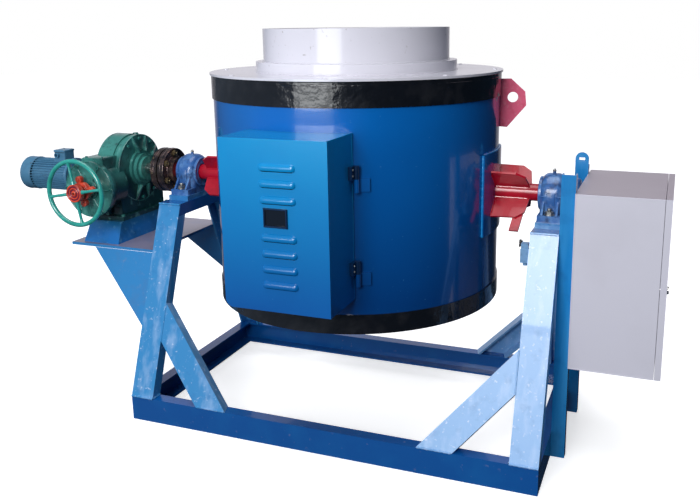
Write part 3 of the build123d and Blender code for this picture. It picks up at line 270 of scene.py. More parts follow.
def stand_paints(m, c):
    shelf_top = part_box("drive_shelf")[1][2]
    # The legs are painted paler towards +X, a painted glare on the right-hand legs, and darker towards -X
    m["legs"] = material(
        "leg paint", c.legs, 0.28, coat=0.4, bump=(PEEL, 90.0, 0.25),
        fade=((0.040, 0.255, 0.56), 0.80, -0.55, ACROSS),
        streak=((0.48, 0.64, 0.90), 22.0, 0.49, 0.76, 0.58),
        grime_and_painted_light=[((0.03, 0.17, 0.44), 26.0, 0.56, 0.78, 0.5), ((0.72, 0.80, 0.94), 70.0, 0.62, 0.74, 0.6)],
    )
    # The dark rail paint also stands as painted shade on the unlit top beams
    m["rails"] = material(
        "rail paint", c.rails, 0.24, coat=0.5, bump=(PEEL, 90.0, 0.3),
        grime_and_painted_light=[((0.006, 0.13, 0.40), 9.0, 0.45, 0.8, 0.6), (DUST, 44.0, 0.66, 0.8, 0.35)],
    )
    m["upright"] = material(
        "upright paint", c.upright, 0.22, coat=0.6, bump=(PEEL, 90.0, 0.2),
        streak=((0.06, 0.38, 0.76), 20.0, 0.45, 0.75, 0.7),
        grime_and_painted_light=[((0.004, 0.12, 0.38), 18.0, 0.55, 0.8, 0.5)],
    )
    # The shelf's top face is painted grey-violet: painted light on the top face, together with its dust
    m["shelf"] = material(
        "shelf paint", (0.030, 0.23, 0.54), 0.28, coat=0.4, bump=(PEEL, 90.0, 0.2),
        fade=((0.22, 0.20, 0.28), shelf_top - 0.0005, shelf_top - 0.0001, UP),
        grime_and_painted_light=[((0.10, 0.16, 0.32), 12.0, 0.48, 0.78, 0.5), (DUST, 60.0, 0.60, 0.85, 0.4)],
    )


def vessel_paints(m, c):
    # The vessel paint darkens from its colour at the top to dark navy lower down: painted shade on the
    # lower shell
    m["vessel"] = material(
        "vessel paint", c.vessel, 0.17, coat=0.7, bump=(PEEL, 120.0, 0.08),
        fade=((0.001, 0.046, 0.205), 1.34, 0.62, UP),
        grime_and_painted_light=[((0.001, 0.07, 0.30), 3.0, 0.45, 0.9, 0.4), ((0.10, 0.34, 0.60), 90.0, 0.70, 0.80, 0.5)],
    )
    # The hood paint darkens lower down: painted shade
    m["hood"] = material(
        "hood paint", c.hood, 0.22, coat=0.4, bump=(PEEL, 120.0, 0.08),
        fade=((0.001, 0.075, 0.33), 1.24, 0.62, UP),
        grime_and_painted_light=[((0.003, 0.16, 0.50), 5.0, 0.45, 0.9, 0.4), ((0.10, 0.34, 0.60), 90.0, 0.70, 0.80, 0.4)],
    )
    m["navy"] = material("navy paint", (0.003, 0.022, 0.075), 0.24, coat=0.5, bump=(PEEL, 60.0, 0.2))
    m["band"] = material(
        "band paint", (0.006, 0.007, 0.010), 0.17, coat=0.55, bump=(WRINKLE, 26.0, 0.75),
        grime_and_painted_light=[((0.030, 0.030, 0.034), 16.0, 0.45, 0.8, 0.6)],
    )
    m["white"] = material(
        "cover enamel", c.cover, 0.19, coat=0.35, bump=(PEEL, 40.0, 0.6),
        grime_and_painted_light=[((0.50, 0.47, 0.50), 6.0, 0.58, 0.9, 0.3), ((0.22, 0.18, 0.14), 60.0, 0.68, 0.78, 0.6)],
    )
    m["red"] = material(
        "red gloss", c.red, 0.24, coat=0.35, bump=(PEEL, 60.0, 0.5),
        grime_and_painted_light=[((0.16, 0.002, 0.010), 14.0, 0.45, 0.8, 0.7)],
    )
    m["red_weld"] = material("red weld", c.red, 0.12, coat=0.9, bump=(PEEL, 120.0, 1.0))
    m["lug"] = material(
        "lug paint", c.lug, 0.30, coat=0.4, bump=(CAST, 130.0, 0.4),
        grime_and_painted_light=[((0.66, 0.04, 0.10), 34.0, 0.50, 0.76, 0.5), ((0.94, 0.40, 0.48), 80.0, 0.56, 0.74, 0.5)],
    )


def drive_paints(m, c):
    # The lighter blue patches on the bearings are partly mottled paint and partly painted highlights
    m["bearing"] = material(
        "bearing paint", c.bearing, 0.30, coat=0.5, bump=(CAST, 160.0, 0.6),
        grime_and_painted_light=[((0.14, 0.30, 0.58), 22.0, 0.46, 0.66, 0.7), ((0.012, 0.03, 0.10), 40.0, 0.50, 0.70, 0.8)],
    )
    m["pad"] = material(
        "pad paint", (0.03, 0.20, 0.48), 0.28, coat=0.4, bump=(CAST, 120.0, 0.4),
        grime_and_painted_light=[((0.20, 0.42, 0.66), 30.0, 0.48, 0.7, 0.7), (DARK, 55.0, 0.60, 0.78, 0.6)],
    )
    # The large near-black patches on the gearbox green are painted shade standing for its shaded faces
    m["green"] = material(
        "gearbox paint", c.green, 0.24, coat=0.6, bump=(CAST, 150.0, 0.5),
        grime_and_painted_light=[
            ((0.003, 0.030, 0.032), 9.0, 0.43, 0.68, 0.90), ((0.18, 0.50, 0.44), 34.0, 0.55, 0.72, 0.6),
            (DARK, 70.0, 0.60, 0.72, 0.6),
        ],
    )
    # The gearbox case turns near-black on its lower part and carries near-black patches: painted shade
    m["shaded"] = material(
        "gearbox case paint", c.green, 0.28, coat=0.4, bump=(CAST, 150.0, 0.5),
        fade=((0.004, 0.040, 0.045), 1.00, 0.86, UP),
        grime_and_painted_light=[
            ((0.003, 0.030, 0.034), 9.0, 0.44, 0.70, 0.85), ((0.16, 0.44, 0.40), 34.0, 0.58, 0.74, 0.5),
            (DARK, 70.0, 0.58, 0.72, 0.7),
        ],
    )
    m["greened"] = material(
        "painted bolt", (0.02, 0.17, 0.15), 0.22, coat=0.6, bump=(CAST, 150.0, 0.4),
        grime_and_painted_light=[((0.20, 0.36, 0.32), 70.0, 0.52, 0.72, 0.6)],
    )
    # The foot turns dark towards its top: painted shade under the gearbox case
    m["foot"] = material(
        "foot paint", (0.010, 0.15, 0.46), 0.28, coat=0.5, bump=(CAST, 150.0, 0.5),
        fade=((0.008, 0.07, 0.09), 0.70, 0.77, UP),
        grime_and_painted_light=[((0.010, 0.07, 0.14), 12.0, 0.48, 0.72, 0.7), ((0.16, 0.40, 0.60), 45.0, 0.58, 0.78, 0.5)],
    )
    m["teal"] = material(
        "handwheel enamel", c.teal, 0.16, coat=0.8, bump=(PEEL, 60.0, 0.3),
        grime_and_painted_light=[((0.004, 0.14, 0.11), 24.0, 0.52, 0.78, 0.6), ((0.22, 0.66, 0.56), 60.0, 0.58, 0.75, 0.4)],
    )
    m["orange"] = material(
        "clutch enamel", c.orange, 0.22, coat=0.6, bump=(CAST, 160.0, 0.4),
        grime_and_painted_light=[((0.16, 0.006, 0.010), 34.0, 0.48, 0.72, 0.7), ((0.86, 0.26, 0.14), 80.0, 0.58, 0.72, 0.4)],
    )
    # The hub grooves are painted a dark magenta: painted shade in the grooves
    m["magenta"] = material(
        "clutch groove painted shade", (0.14, 0.006, 0.05), 0.30, coat=0.4, bump=(CAST, 160.0, 0.3),
    )
    m["dark_steel"] = material(
        "turned dark steel", (0.10, 0.075, 0.075), 0.26, metal=0.75, bump=(PEEL, 120.0, 0.4),
        grime_and_painted_light=[
            ((0.34, 0.20, 0.18), 16.0, 0.44, 0.66, 0.75), (DARK, 34.0, 0.48, 0.68, 0.85),
            ((0.52, 0.40, 0.22), 80.0, 0.58, 0.72, 0.6),
        ],
    )
    m["brass"] = material(
        "yellowed zinc", (0.36, 0.28, 0.16), 0.30, metal=0.85, grime_and_painted_light=[(DARK, 60.0, 0.48, 0.66, 0.8)],
    )


def other_materials(m, c):
    m["steel"] = material(
        "turned steel", (0.60, 0.58, 0.56), 0.24, metal=1.0, bump=(PEEL, 240.0, 0.1),
        grime_and_painted_light=[((0.30, 0.28, 0.27), 40.0, 0.55, 0.8, 0.5)],
    )
    m["zinc"] = material(
        "zinc plate", (0.46, 0.46, 0.44), 0.34, metal=0.9,
        grime_and_painted_light=[((0.10, 0.09, 0.08), 90.0, 0.48, 0.72, 0.7)],
    )
    m["motor"] = material(
        "motor paint", c.motor, 0.34, coat=0.2, bump=(CAST, 200.0, 0.25),
        grime_and_painted_light=[((0.05, 0.10, 0.18), 26.0, 0.5, 0.8, 0.5)],
    )
    # The cabinet's top face is painted darker than its sides: painted shade on the top
    cabinet_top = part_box("cabinet_box")[1][2]
    m["cabinet"] = material(
        "cabinet powder coat", c.cabinet, 0.40, bump=(PEEL, 500.0, 0.3),
        fade=((0.385, 0.335, 0.385), cabinet_top - 0.0008, cabinet_top - 0.0001, UP),
        grime_and_painted_light=[((0.50, 0.47, 0.52), 4.0, 0.5, 0.9, 0.3), ((0.30, 0.28, 0.27), 120.0, 0.70, 0.8, 0.4)],
    )
    m["black"] = material("black plastic", (0.015, 0.015, 0.017), 0.42, bump=(CAST, 500.0, 0.2))
    m["void"] = material("window glass", (0.002, 0.006, 0.014), 0.08, coat=0.5)
    m["grey"] = material("grey plastic", (0.30, 0.31, 0.33), 0.45, bump=(CAST, 400.0, 0.1))
    m["switch"] = material(
        "switch paint", (0.20, 0.38, 0.62), 0.32, coat=0.2, bump=(CAST, 200.0, 0.2),
        grime_and_painted_light=[((0.06, 0.16, 0.32), 60.0, 0.5, 0.74, 0.6)],
    )
    m["copper"] = material(
        "copper tube", (0.80, 0.36, 0.20), 0.28, metal=1.0,
        grime_and_painted_light=[((0.26, 0.12, 0.07), 30.0, 0.5, 0.8, 0.6)],
    )
    m["fibre"] = material(
        "ceramic fibre", (0.72, 0.70, 0.65), 0.95, bump=(CAST, 60.0, 0.8),
        grime_and_painted_light=[((0.50, 0.46, 0.40), 30.0, 0.5, 0.8, 0.5)],
    )
    m["castable"] = material(
        "castable lining", (0.46, 0.42, 0.37), 0.92, bump=(CAST, 60.0, 0.9),
        grime_and_painted_light=[((0.16, 0.13, 0.11), 12.0, 0.45, 0.75, 0.7)],
    )
    m["graphite"] = material(
        "graphite crucible", (0.045, 0.042, 0.042), 0.62, bump=(CAST, 50.0, 0.6),
        grime_and_painted_light=[((0.20, 0.17, 0.15), 14.0, 0.5, 0.8, 0.6)],
    )
    m["bronze"] = material(
        "bronze", (0.60, 0.38, 0.14), 0.32, metal=1.0, grime_and_painted_light=[((0.28, 0.16, 0.06), 50.0, 0.5, 0.8, 0.5)],
    )
    m["rubber"] = material("rubber", (0.02, 0.02, 0.022), 0.75, bump=(CAST, 300.0, 0.3))


# Material of each CAD node
LOOKS = {
    "legs": "legs braces",
    # The top beams take the dark rail paint as painted shade
    "rails": "cross_rails side_rails top_beams",
    "upright": "cabinet_uprights",
    "shelf": "drive_shelf shelf_brackets",
    "vessel": "vessel_shell vessel_floor saddle_plates hinge_shell_halves",
    "hood": "hood_cover",
    "navy": "hinge_hood_halves",
    "band": "shell_bands",
    "white": "cover_plate step_ring collar",
    "red": "trunnions trunnion_fins striker",
    "lug": "lifting_lugs",
    "bearing": "bearing_housings",
    "pad": "bearing_pads",
    "green": "gearbox_covers",
    "shaded": "gearbox_case",
    "foot": "gearbox_foot",
    "teal": "handwheel",
    "orange": "handwheel_hub clutch_star",
    "dark_steel": "coupling_hubs",
    "brass": "coupling_bolts",
    "greened": "cap_screws",
    "steel": "bearing_inserts wheel_shaft worm_shaft hand_shaft motor_rotor cabinet_lock mounting_plate",
    "zinc": "bearing_bolts",
    "motor": "motor_body motor_cowl terminal_box",
    "cabinet": "cabinet_box cabinet_door",
    "black": "cable_glands switch_lever",
    "void": "hood_window",
    "grey": "control_gear",
    "switch": "limit_switch",
    "copper": "induction_coil coil_terminals",
    "fibre": "insulation",
    "castable": "collar_lining crucible_pedestal coil_posts terminal_board",
    "graphite": "crucible",
    "bronze": "motor_wheel",
}

# Width of the rounding of edges, and the nodes that have it
ROUNDED = (
    (0.0008, "motor_cowl"),
    (0.0010, "shelf_brackets coupling_bolts"),
    (0.0012, "bearing_bolts"),
    (0.0015, "trunnion_fins striker drive_shelf saddle_plates"),
    (0.0020, "cabinet_box cover_plate coupling_hubs lifting_lugs bearing_pads "
             "terminal_box cabinet_uprights gearbox_covers"),
    (0.0025, "cabinet_door"),
    (0.0030, "legs cross_rails side_rails braces top_beams collar step_ring"),
    (0.0040, "gearbox_foot"),
    (0.0050, "crucible"),
)


# Modelling helpers

def clear():
    if bpy.context.object and bpy.context.object.mode != "OBJECT":
        bpy.ops.object.mode_set(mode="OBJECT")
    bpy.ops.object.select_all(action="DESELECT")


def pick(obj):
    clear()
    obj.select_set(True)
    bpy.context.view_layer.objects.active = obj


def turn_for(axis):
    return {"x": (0, math.pi / 2, 0), "y": (math.pi / 2, 0, 0), "z": (0, 0, 0)}[axis]


def apply_all(obj):
    pick(obj)
    bpy.ops.object.transform_apply(location=True, rotation=True, scale=True)


def bevel_sharp(obj, offset):
    pick(obj)
    bpy.ops.object.mode_set(mode="EDIT")
    bpy.ops.mesh.select_mode(type="EDGE")
    bpy.ops.mesh.select_all(action="DESELECT")
    bpy.ops.mesh.edges_select_sharp(sharpness=math.radians(35.0))
    bpy.ops.mesh.bevel(offset=offset, segments=2, affect="EDGES", clamp_overlap=True)
    bpy.ops.object.mode_set(mode="OBJECT")


def cylinder(radius, length, place, axis="z", sides=48, bevel=0.0):
    clear()
    bpy.ops.mesh.primitive_cylinder_add(
        vertices=sides, radius=radius, depth=length, location=place, rotation=turn_for(axis)
    )
    obj = bpy.context.object
    apply_all(obj)
    if bevel:
        bevel_sharp(obj, bevel)
    return obj


def cuboid(low, high, bevel=0.0):
    clear()
    centre = [(a + b) / 2 for a, b in zip(low, high)]
    bpy.ops.mesh.primitive_cube_add(size=1.0, location=centre)
    obj = bpy.context.object
    obj.scale = [abs(b - a) for a, b in zip(low, high)]
    apply_all(obj)
    if bevel:
        bevel_sharp(obj, bevel)
    return obj


def slice_off(obj, point, normal):
    pick(obj)
    bpy.ops.object.mode_set(mode="EDIT")
    bpy.ops.mesh.select_all(action="SELECT")
    bpy.ops.mesh.bisect(plane_co=point, plane_no=normal, use_fill=True, clear_outer=True)
    bpy.ops.object.mode_set(mode="OBJECT")


def swing(obj, centre, degrees, axis):
    there = Matrix.Translation(Vector(centre))
    turn = Matrix.Rotation(math.radians(degrees), 4, axis)
    obj.data.transform(there @ turn @ there.inverted())


def around(radius, degrees):
    turn = math.radians(degrees)
    return radius * math.cos(turn), radius * math.sin(turn)


def radial(degrees):
    x, z = around(1.0, degrees)
    return Vector((x, 0.0, z))


def on_hand_shaft(y):
    return Vector((HAND_X, y, HAND_Z))


def hexagon(radius, length, place, axis="z", bevel=0.001):
    return cylinder(radius, length, place, axis, 6, bevel)


def torus(major, minor, place, axis, segments, ring):
    clear()
    bpy.ops.mesh.primitive_torus_add(
        major_radius=major, minor_radius=minor, major_segments=segments,
        minor_segments=ring, location=place, rotation=turn_for(axis),
    )
    obj = bpy.context.object
    apply_all(obj)
    return obj


def between(start, end, radius, sides, tip=None):
    a = Vector(start)
    b = Vector(end)
    clear()
    bpy.ops.mesh.primitive_cone_add(
        vertices=sides, radius1=radius, radius2=radius if tip is None else tip,
        depth=(b - a).length, location=(a + b) / 2,
    )
    obj = bpy.context.object
    obj.rotation_euler = (b - a).to_track_quat("Z", "Y").to_euler()
    apply_all(obj)
    return obj


def bead(points, radius, closed=False):
    curve = bpy.data.curves.new("bead", "CURVE")
    curve.dimensions = "3D"
    curve.bevel_depth = radius
    curve.bevel_resolution = 3
    spline = curve.splines.new("POLY")
    spline.points.add(len(points) - 1)
    for index, point in enumerate(points):
        swell = 1.0 + 0.16 * math.sin(index * 2.4) + 0.08 * math.sin(index * 1.1 + 0.7)
        spline.points[index].co = (*point, 1.0)
        spline.points[index].radius = swell
    spline.use_cyclic_u = closed
    obj = bpy.data.objects.new("bead", curve)
    bpy.context.scene.collection.objects.link(obj)
    pick(obj)
    bpy.ops.object.convert(target="MESH")
    return bpy.context.object


def path(points, step=0.006):
    out = []
    for start, end in zip(points, points[1:]):
        a = Vector(start)
        b = Vector(end)
        count = max(1, int((b - a).length / step))
        out += [tuple(a.lerp(b, index / count)) for index in range(count)]
    out.append(tuple(points[-1]))
    return out


def arc(radius, start, end, z, step):
    count = max(2, int(abs(end - start) / step))
    turn = (end - start) / count
    return [(*around(radius, start + turn * index), z) for index in range(count + 1)]


def ring_bead(ring_radius, z, step, radius):
    return bead(arc(ring_radius, 0.0, 359.0, z, step), radius, True)


def join(parts):
    clear()
    for part in parts:
        part.select_set(True)
    bpy.context.view_layer.objects.active = parts[0]
    if len(parts) > 1:
        bpy.ops.object.join()
    return bpy.context.object


def smooth(obj, angle):
    pick(obj)
    bpy.ops.object.shade_smooth_by_angle(angle=math.radians(angle))


def piece(name, parts, body, look, replaces=(), angle=35.0):
    obj = join(parts)
    obj.name = name
    obj.data.name = name
    obj.data.materials.clear()
    obj.data.materials.append(MATERIALS[look])
    for polygon in obj.data.polygons:
        polygon.material_index = 0
    smooth(obj, angle)
    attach(obj, body)
    if replaces:
        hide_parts(*replaces)
    return obj


# Settings

def length_property(label, description, value, low, high):
    return bpy.props.FloatProperty(
        name=label, description=description, default=value, min=low, max=high,
        subtype="DISTANCE", unit="LENGTH",
    )


class FurnaceSizes(bpy.types.PropertyGroup):
    weld_radius: length_property("Weld radius", "Radius of the weld beads", 0.004, 0.001, 0.01)
    rim_radius: length_property("Handwheel rim", "Radius of the rim", 0.0094, 0.004, 0.0095)
    bolt_radius: length_property("Bolt head", "Gearbox bolt corners", 0.0085, 0.004, 0.012)
    floor_size: length_property("Floor", "Side of the square floor", 40.0, 10.0, 80.0)


def colour_property(label, value):
    return bpy.props.FloatVectorProperty(
        name=label, description=label + " colour, linear", default=value, size=3,
        min=0.0, max=1.0, subtype="COLOR",
    )


class FurnaceColours(bpy.types.PropertyGroup):
    vessel: colour_property("Vessel", (0.002, 0.145, 0.52))
    hood: colour_property("Hood", (0.002, 0.31, 0.67))
    # The leg colour is the pale, glare-lit colour of the right-hand legs: painted light
    legs: colour_property("Legs", (0.20, 0.41, 0.74))
    rails: colour_property("Rails", (0.003, 0.085, 0.33))
    cover: colour_property("Cover", (0.73, 0.715, 0.785))
    red: colour_property("Red parts", (0.50, 0.006, 0.024))
    lug: colour_property("Lugs", (0.95, 0.15, 0.27))
    bearing: colour_property("Bearings", (0.035, 0.13, 0.38))
    green: colour_property("Gearbox", (0.050, 0.245, 0.215))
    teal: colour_property("Handwheel", (0.030, 0.38, 0.32))
    orange: colour_property("Clutch", (0.74, 0.07, 0.03))
    motor: colour_property("Motor", (0.07, 0.21, 0.35))
    upright: colour_property("Uprights", (0.008, 0.24, 0.62))
    cabinet: colour_property("Cabinet", (0.71, 0.69, 0.775))


def sizes():
    return bpy.context.scene.furnace_sizes


# Pieces

class FURNACE_OT_frame(bpy.types.Operator):
    """Give every CAD node its material and soften its edges"""

    bl_idname = "furnace.frame"
    bl_label = "Dress the frame"

    def execute(self, context):
        make_groups()
        for make in (stand_paints, vessel_paints, drive_paints, other_materials):
            make(MATERIALS, context.scene.furnace_colours)
        for look, names in LOOKS.items():
            for name in names.split():
                for slot in NODES[name].material_slots:
                    slot.link = "OBJECT"
                    slot.material = MATERIALS[look]
        for width, names in ROUNDED:
            for name in names.split():
                modifier = NODES[name].modifiers.new("Soft edges", "BEVEL")
                modifier.width = width
                modifier.segments = 2
                modifier.limit_method = "ANGLE"
                modifier.angle_limit = math.radians(40)
                modifier.harden_normals = False
        return {"FINISHED"}


def saddle_welds(radius):
    saddle_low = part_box("saddle_plates")[0][2]
    saddle_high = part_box("saddle_plates")[1][2]
    half_angle = 14.5
    face = SHELL_R + 0.004
    saddles = []
    for middle in (0.0, 180.0):
        ends = (middle - half_angle, middle + half_angle)
        for z in (saddle_low - 0.001, saddle_high + 0.001):
            saddles.append(bead(arc(face, *ends, z, 0.6), radius))
        for angle in ends:
            x, y = around(face, angle)
            saddles.append(bead(path([(x, y, saddle_low), (x, y, saddle_high)]), radius))
    # The saddle welds take the brighter upright paint: a painted highlight along the saddle edges
    piece("saddle_welds", saddles, "vessel", "upright")


def fin_welds(radius):
    fins = []
    fin_half = 0.005
    fin_foot = 0.033
    saddle_face = SHELL_R + 0.010
    for side in (-1, 1):
        for angle in (45, 135, 225, 315):
            dy, dz = around(1.0, angle)
            for shift in (-fin_half, fin_half):
                line = []
                for reach in (0.036, 0.055, 0.075, 0.095, 0.112):
                    y = reach * dy - shift * dz
                    x = side * math.sqrt(saddle_face ** 2 - y ** 2)
                    line.append((x, y, AXIS_Z + reach * dz + shift * dy))
                fins.append(bead(path(line, 0.005), radius * 0.8))
                foot = (fin_foot * dy - shift * dz, AXIS_Z + fin_foot * dz + shift * dy)
                ends = [(side * (saddle_face + x), *foot) for x in (-0.002, 0.120)]
                fins.append(bead(path(ends, 0.005), radius * 0.7))
    piece("fin_welds", fins, "vessel", "red_weld")


def lug_welds(radius):
    lugs = []
    lug_x, lug_y = around(1.0, 14.0)
    for side in (-1, 1):
        for shift in (-0.010, 0.010):
            x = SHELL_R * lug_x - shift * lug_y
            y = SHELL_R * lug_y + shift * lug_x
            scale = (SHELL_R + 0.002) / math.hypot(x, y)
            line = [(side * x * scale, y * scale, z) for z in (1.180, 1.296)]
            lugs.append(bead(path(line), radius * 0.9))
    piece("lug_welds", lugs, "vessel", "lug")


def cover_welds(radius):
    plate_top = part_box("cover_plate")[1][2]
    step_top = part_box("step_ring")[1][2]
    step_radius = 0.3865
    collar_radius = 0.3570
    plug_circle = 0.530
    seams = [
        ring_bead(step_radius, plate_top + 0.001, 0.8, radius * 0.6),
        ring_bead(collar_radius, step_top + 0.001, 0.8, radius * 0.6),
    ]
    for index in range(8):
        x, y = around(plug_circle, 11 + index * 45)
        seams.append(cylinder(0.0075, 0.005, (x, y, plate_top + 0.0005), "z", 20, 0.0020))
    piece("cover_welds", seams, "vessel", "white")


def band_beads(radius):
    band_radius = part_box("shell_bands")[1][0]
    band_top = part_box("shell_bands")[1][2]
    rims = [
        ring_bead(band_radius - 0.0012, band_top - 0.0015, 0.7, radius * 0.55),
        ring_bead(band_radius - 0.0016, band_top - 0.014, 1.3, radius * 0.5),
    ]
    piece("band_beads", rims, "vessel", "band")


def stand_welds(radius):
    leg_outer = 0.821
    leg_inner = 0.721
    face = leg_inner - 0.001
    rail_top = 0.101
    lean = 0.275 / 0.745
    lines = (
        (1.0, [(leg_inner, 0.462, rail_top), (leg_outer, 0.462, rail_top)]),
        (0.8, [(face, 0.460, rail_top), (face, 0.414, rail_top)]),
        (0.9, [(leg_inner, 0.189, 0.843), (leg_outer, 0.189, 0.843)]),
        (0.9, [(0.392, 0.461, rail_top), (0.517, 0.461, rail_top)]),
        (0.9, [(face, 0.461 - lean * (z - 0.1), z) for z in (0.318, 0.462)]),
    )
    stand = []
    for side in (-1, 1):
        for end in (-1, 1):
            for share, line in lines:
                points = [(side * x, end * y, z) for x, y, z in line]
                stand.append(bead(path(points), radius * share))
    piece("stand_welds", stand, "stand", "legs")


class FURNACE_OT_welds(bpy.types.Operator):
    """Lay weld beads where the plates of the vessel and the stand meet"""

    bl_idname = "furnace.welds"
    bl_label = "Weld beads"

    def execute(self, context):
        for weld in (saddle_welds, fin_welds, lug_welds, cover_welds, band_beads, stand_welds):
            weld(sizes().weld_radius)
        return {"FINISHED"}


class FURNACE_OT_handwheel(bpy.types.Operator):
    """Model the cast handwheel with its rim, spokes and grooved hub"""

    bl_idname = "furnace.handwheel"
    bl_label = "Handwheel"

    def execute(self, context):
        centre = on_hand_shaft(WHEEL_Y)
        parts = [torus(RIM_R, sizes().rim_radius, centre, "y", 112, 24)]
        for angle in SPOKE_ANGLES:
            out = radial(angle)
            for near, far, radius, tip in (
                (HUB_R - 0.003, RIM_R, 0.0066, 0.0054),
                (HUB_R - 0.003, 0.052, 0.0100, 0.0060),
                (RIM_R - 0.024, RIM_R - 0.002, 0.0056, 0.0088),
            ):
                parts.append(between(centre + out * near, centre + out * far, radius, 24, tip))
        piece("handwheel_casting", parts, "hand_drive", "teal", ["handwheel"], 50.0)

        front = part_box("handwheel_hub")[0][1]
        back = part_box("handwheel_hub")[1][1]
        middle = on_hand_shaft((front + back) / 2 + 0.002)
        rings = [
            cylinder(HUB_R, back - front - 0.004, middle, "y", 72, 0.0015),
            torus(0.0335, 0.0040, on_hand_shaft(front + 0.0041), "y", 72, 14),
            torus(0.0215, 0.0036, on_hand_shaft(front + 0.0041), "y", 72, 14),
            cylinder(0.0120, 0.008, on_hand_shaft(front + 0.004), "y", 48, 0.002),
            cylinder(0.0055, 0.004, on_hand_shaft(front + 0.002), "y", 32, 0.0010),
        ]
        piece("hub_casting", rings, "hand_drive", "orange", ["handwheel_hub"])

        # Dark rings in the grooves of the hub: painted shade
        groove = [
            torus(0.0275, 0.0024, on_hand_shaft(front + 0.0036), "y", 64, 10),
            torus(0.0155, 0.0022, on_hand_shaft(front + 0.0036), "y", 64, 10),
        ]
        piece("hub_groove", groove, "hand_drive", "magenta")
        return {"FINISHED"}


class FURNACE_OT_clutch(bpy.types.Operator):
    """Model the lobed clutch star behind the handwheel"""

    bl_idname = "furnace.clutch"
    bl_label = "Clutch star"

    def execute(self, context):
        low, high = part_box("clutch_star")
        middle = on_hand_shaft((STAR_FACE_Y + high[1]) / 2)
        neck = on_hand_shaft((STAR_FACE_Y + low[1]) / 2 + 0.001)
        depth = high[1] - STAR_FACE_Y
        parts = [
            cylinder(0.0398, depth, middle, "y", 64, 0.003),
            cylinder(0.0238, STAR_FACE_Y - low[1] + 0.002, neck, "y", 48),
            torus(0.0300, 0.0030, on_hand_shaft(STAR_FACE_Y + 0.0005), "y", 64, 12),
        ]
        for angle in SPOKE_ANGLES:
            lobe = middle + radial(angle) * 0.050
            tip = (lobe[0], STAR_FACE_Y - 0.001, lobe[2])
            parts.append(cylinder(0.0149, depth, lobe, "y", 40, 0.003))
            parts.append(cylinder(0.0060, 0.003, tip, "y", 24, 0.001))
        piece("clutch_casting", parts, "clutch", "orange", ["clutch_star"])
        return {"FINISHED"}


def gearbox_bolts():
    bolts = []
    bolt_circle = 0.131
    for index in range(10):
        y, z = around(bolt_circle, 18 + index * 36)
        if AXIS_Z + z > BOX_TOP_Z + 0.012 or y > -0.04:
            place = (DRUM_FACE_X + 0.0035, y, AXIS_Z + z)
            bolts.append(hexagon(sizes().bolt_radius, 0.007, place, "x"))
    for y in (-0.210, -0.074):
        for x in (BOX_LEFT_X + 0.016, BOX_RIGHT_X - 0.016):
            bolts.append(hexagon(0.0065, 0.005, (x, y, BOX_TOP_Z + 0.0065)))
    return bolts


def drum_ribs():
    low = (DRUM_FACE_X - 0.001, 0.076, AXIS_Z - 0.005)
    high = (DRUM_FACE_X + 0.022, 0.147, AXIS_Z + 0.005)
    ribs = []
    for angle in (0, 36, 72, 108, 252, 288, 324):
        rib = cuboid(low, high)
        slice_off(rib, (DRUM_FACE_X + 0.020, 0.090, AXIS_Z), (0.95, 0.32, 0.0))
        bevel_sharp(rib, 0.0015)
        swing(rib, (DRUM_FACE_X, 0.0, AXIS_Z), angle, "X")
        ribs.append(rib)
    return ribs


def cover_ribs():
    base = on_hand_shaft(COVER_Y - 0.001)
    ribs = []
    for angle in range(0, 360, 60):
        out = radial(angle)
        boss = base + out * 0.110
        place = (boss[0], COVER_Y - 0.0005, boss[2])
        ribs.append(between(base + out * 0.044, base + out * 0.098, 0.0055, 12, 0.0035))
        ribs.append(cylinder(0.0112, 0.003, place, "y", 28, 0.0008))
    return ribs


def foot_rib():
    low = (DRUM_BACK_X + 0.050, -0.169, 0.766)
    rib = cuboid(low, (DRUM_FACE_X - 0.055, -0.148, 0.840))
    slice_off(rib, (0.0, -0.169, 0.790), (0.0, -0.93, 0.37))
    return rib


class FURNACE_OT_gearbox(bpy.types.Operator):
    """Add the bolts, plugs, ribs and oil glass of the gearbox"""

    bl_idname = "furnace.gearbox"
    bl_label = "Gearbox fittings"

    def execute(self, context):
        bolts = gearbox_bolts()
        lid_low = (BOX_LEFT_X + 0.004, -0.2225, BOX_TOP_Z - 0.002)
        lid_high = (BOX_RIGHT_X - 0.004, -0.0615, BOX_TOP_Z + 0.004)
        castings = drum_ribs() + cover_ribs() + [
            torus(0.1465, 0.0030, (DRUM_FACE_X - 0.002, 0, AXIS_Z), "x", 112, 10),
            torus(0.1475, 0.0030, (DRUM_BACK_X + 0.002, 0, AXIS_Z), "x", 112, 10),
            torus(0.1170, 0.0026, on_hand_shaft(COVER_Y + 0.001), "y", 112, 10),
            cylinder(0.0460, 0.006, on_hand_shaft(COVER_Y - 0.003), "y", 64, 0.002),
            cuboid(lid_low, lid_high, 0.002),
            foot_rib(),
        ]
        piece("casting_ribs", castings, "stand", "green")
        piece("gearbox_bolts", bolts, "stand", "greened")
        plug = [
            hexagon(0.012, 0.010, (GEAR_X, 0.060, AXIS_Z + 0.1425)),
            cylinder(0.016, 0.010, (GEAR_X, 0.060, AXIS_Z + 0.1360), "z", 32, 0.001),
        ]
        piece("filler_plug", plug, "stand", "greened")
        glass_place = (DRUM_FACE_X + 0.0005, 0.100, 0.850)
        glass = [torus(0.012, 0.003, glass_place, "x", 40, 12)]
        piece("oil_glass_ring", glass, "stand", "steel")
        eye = [cylinder(0.0115, 0.003, glass_place, "x", 40, 0.001)]
        piece("oil_glass", eye, "stand", "void")
        return {"FINISHED"}


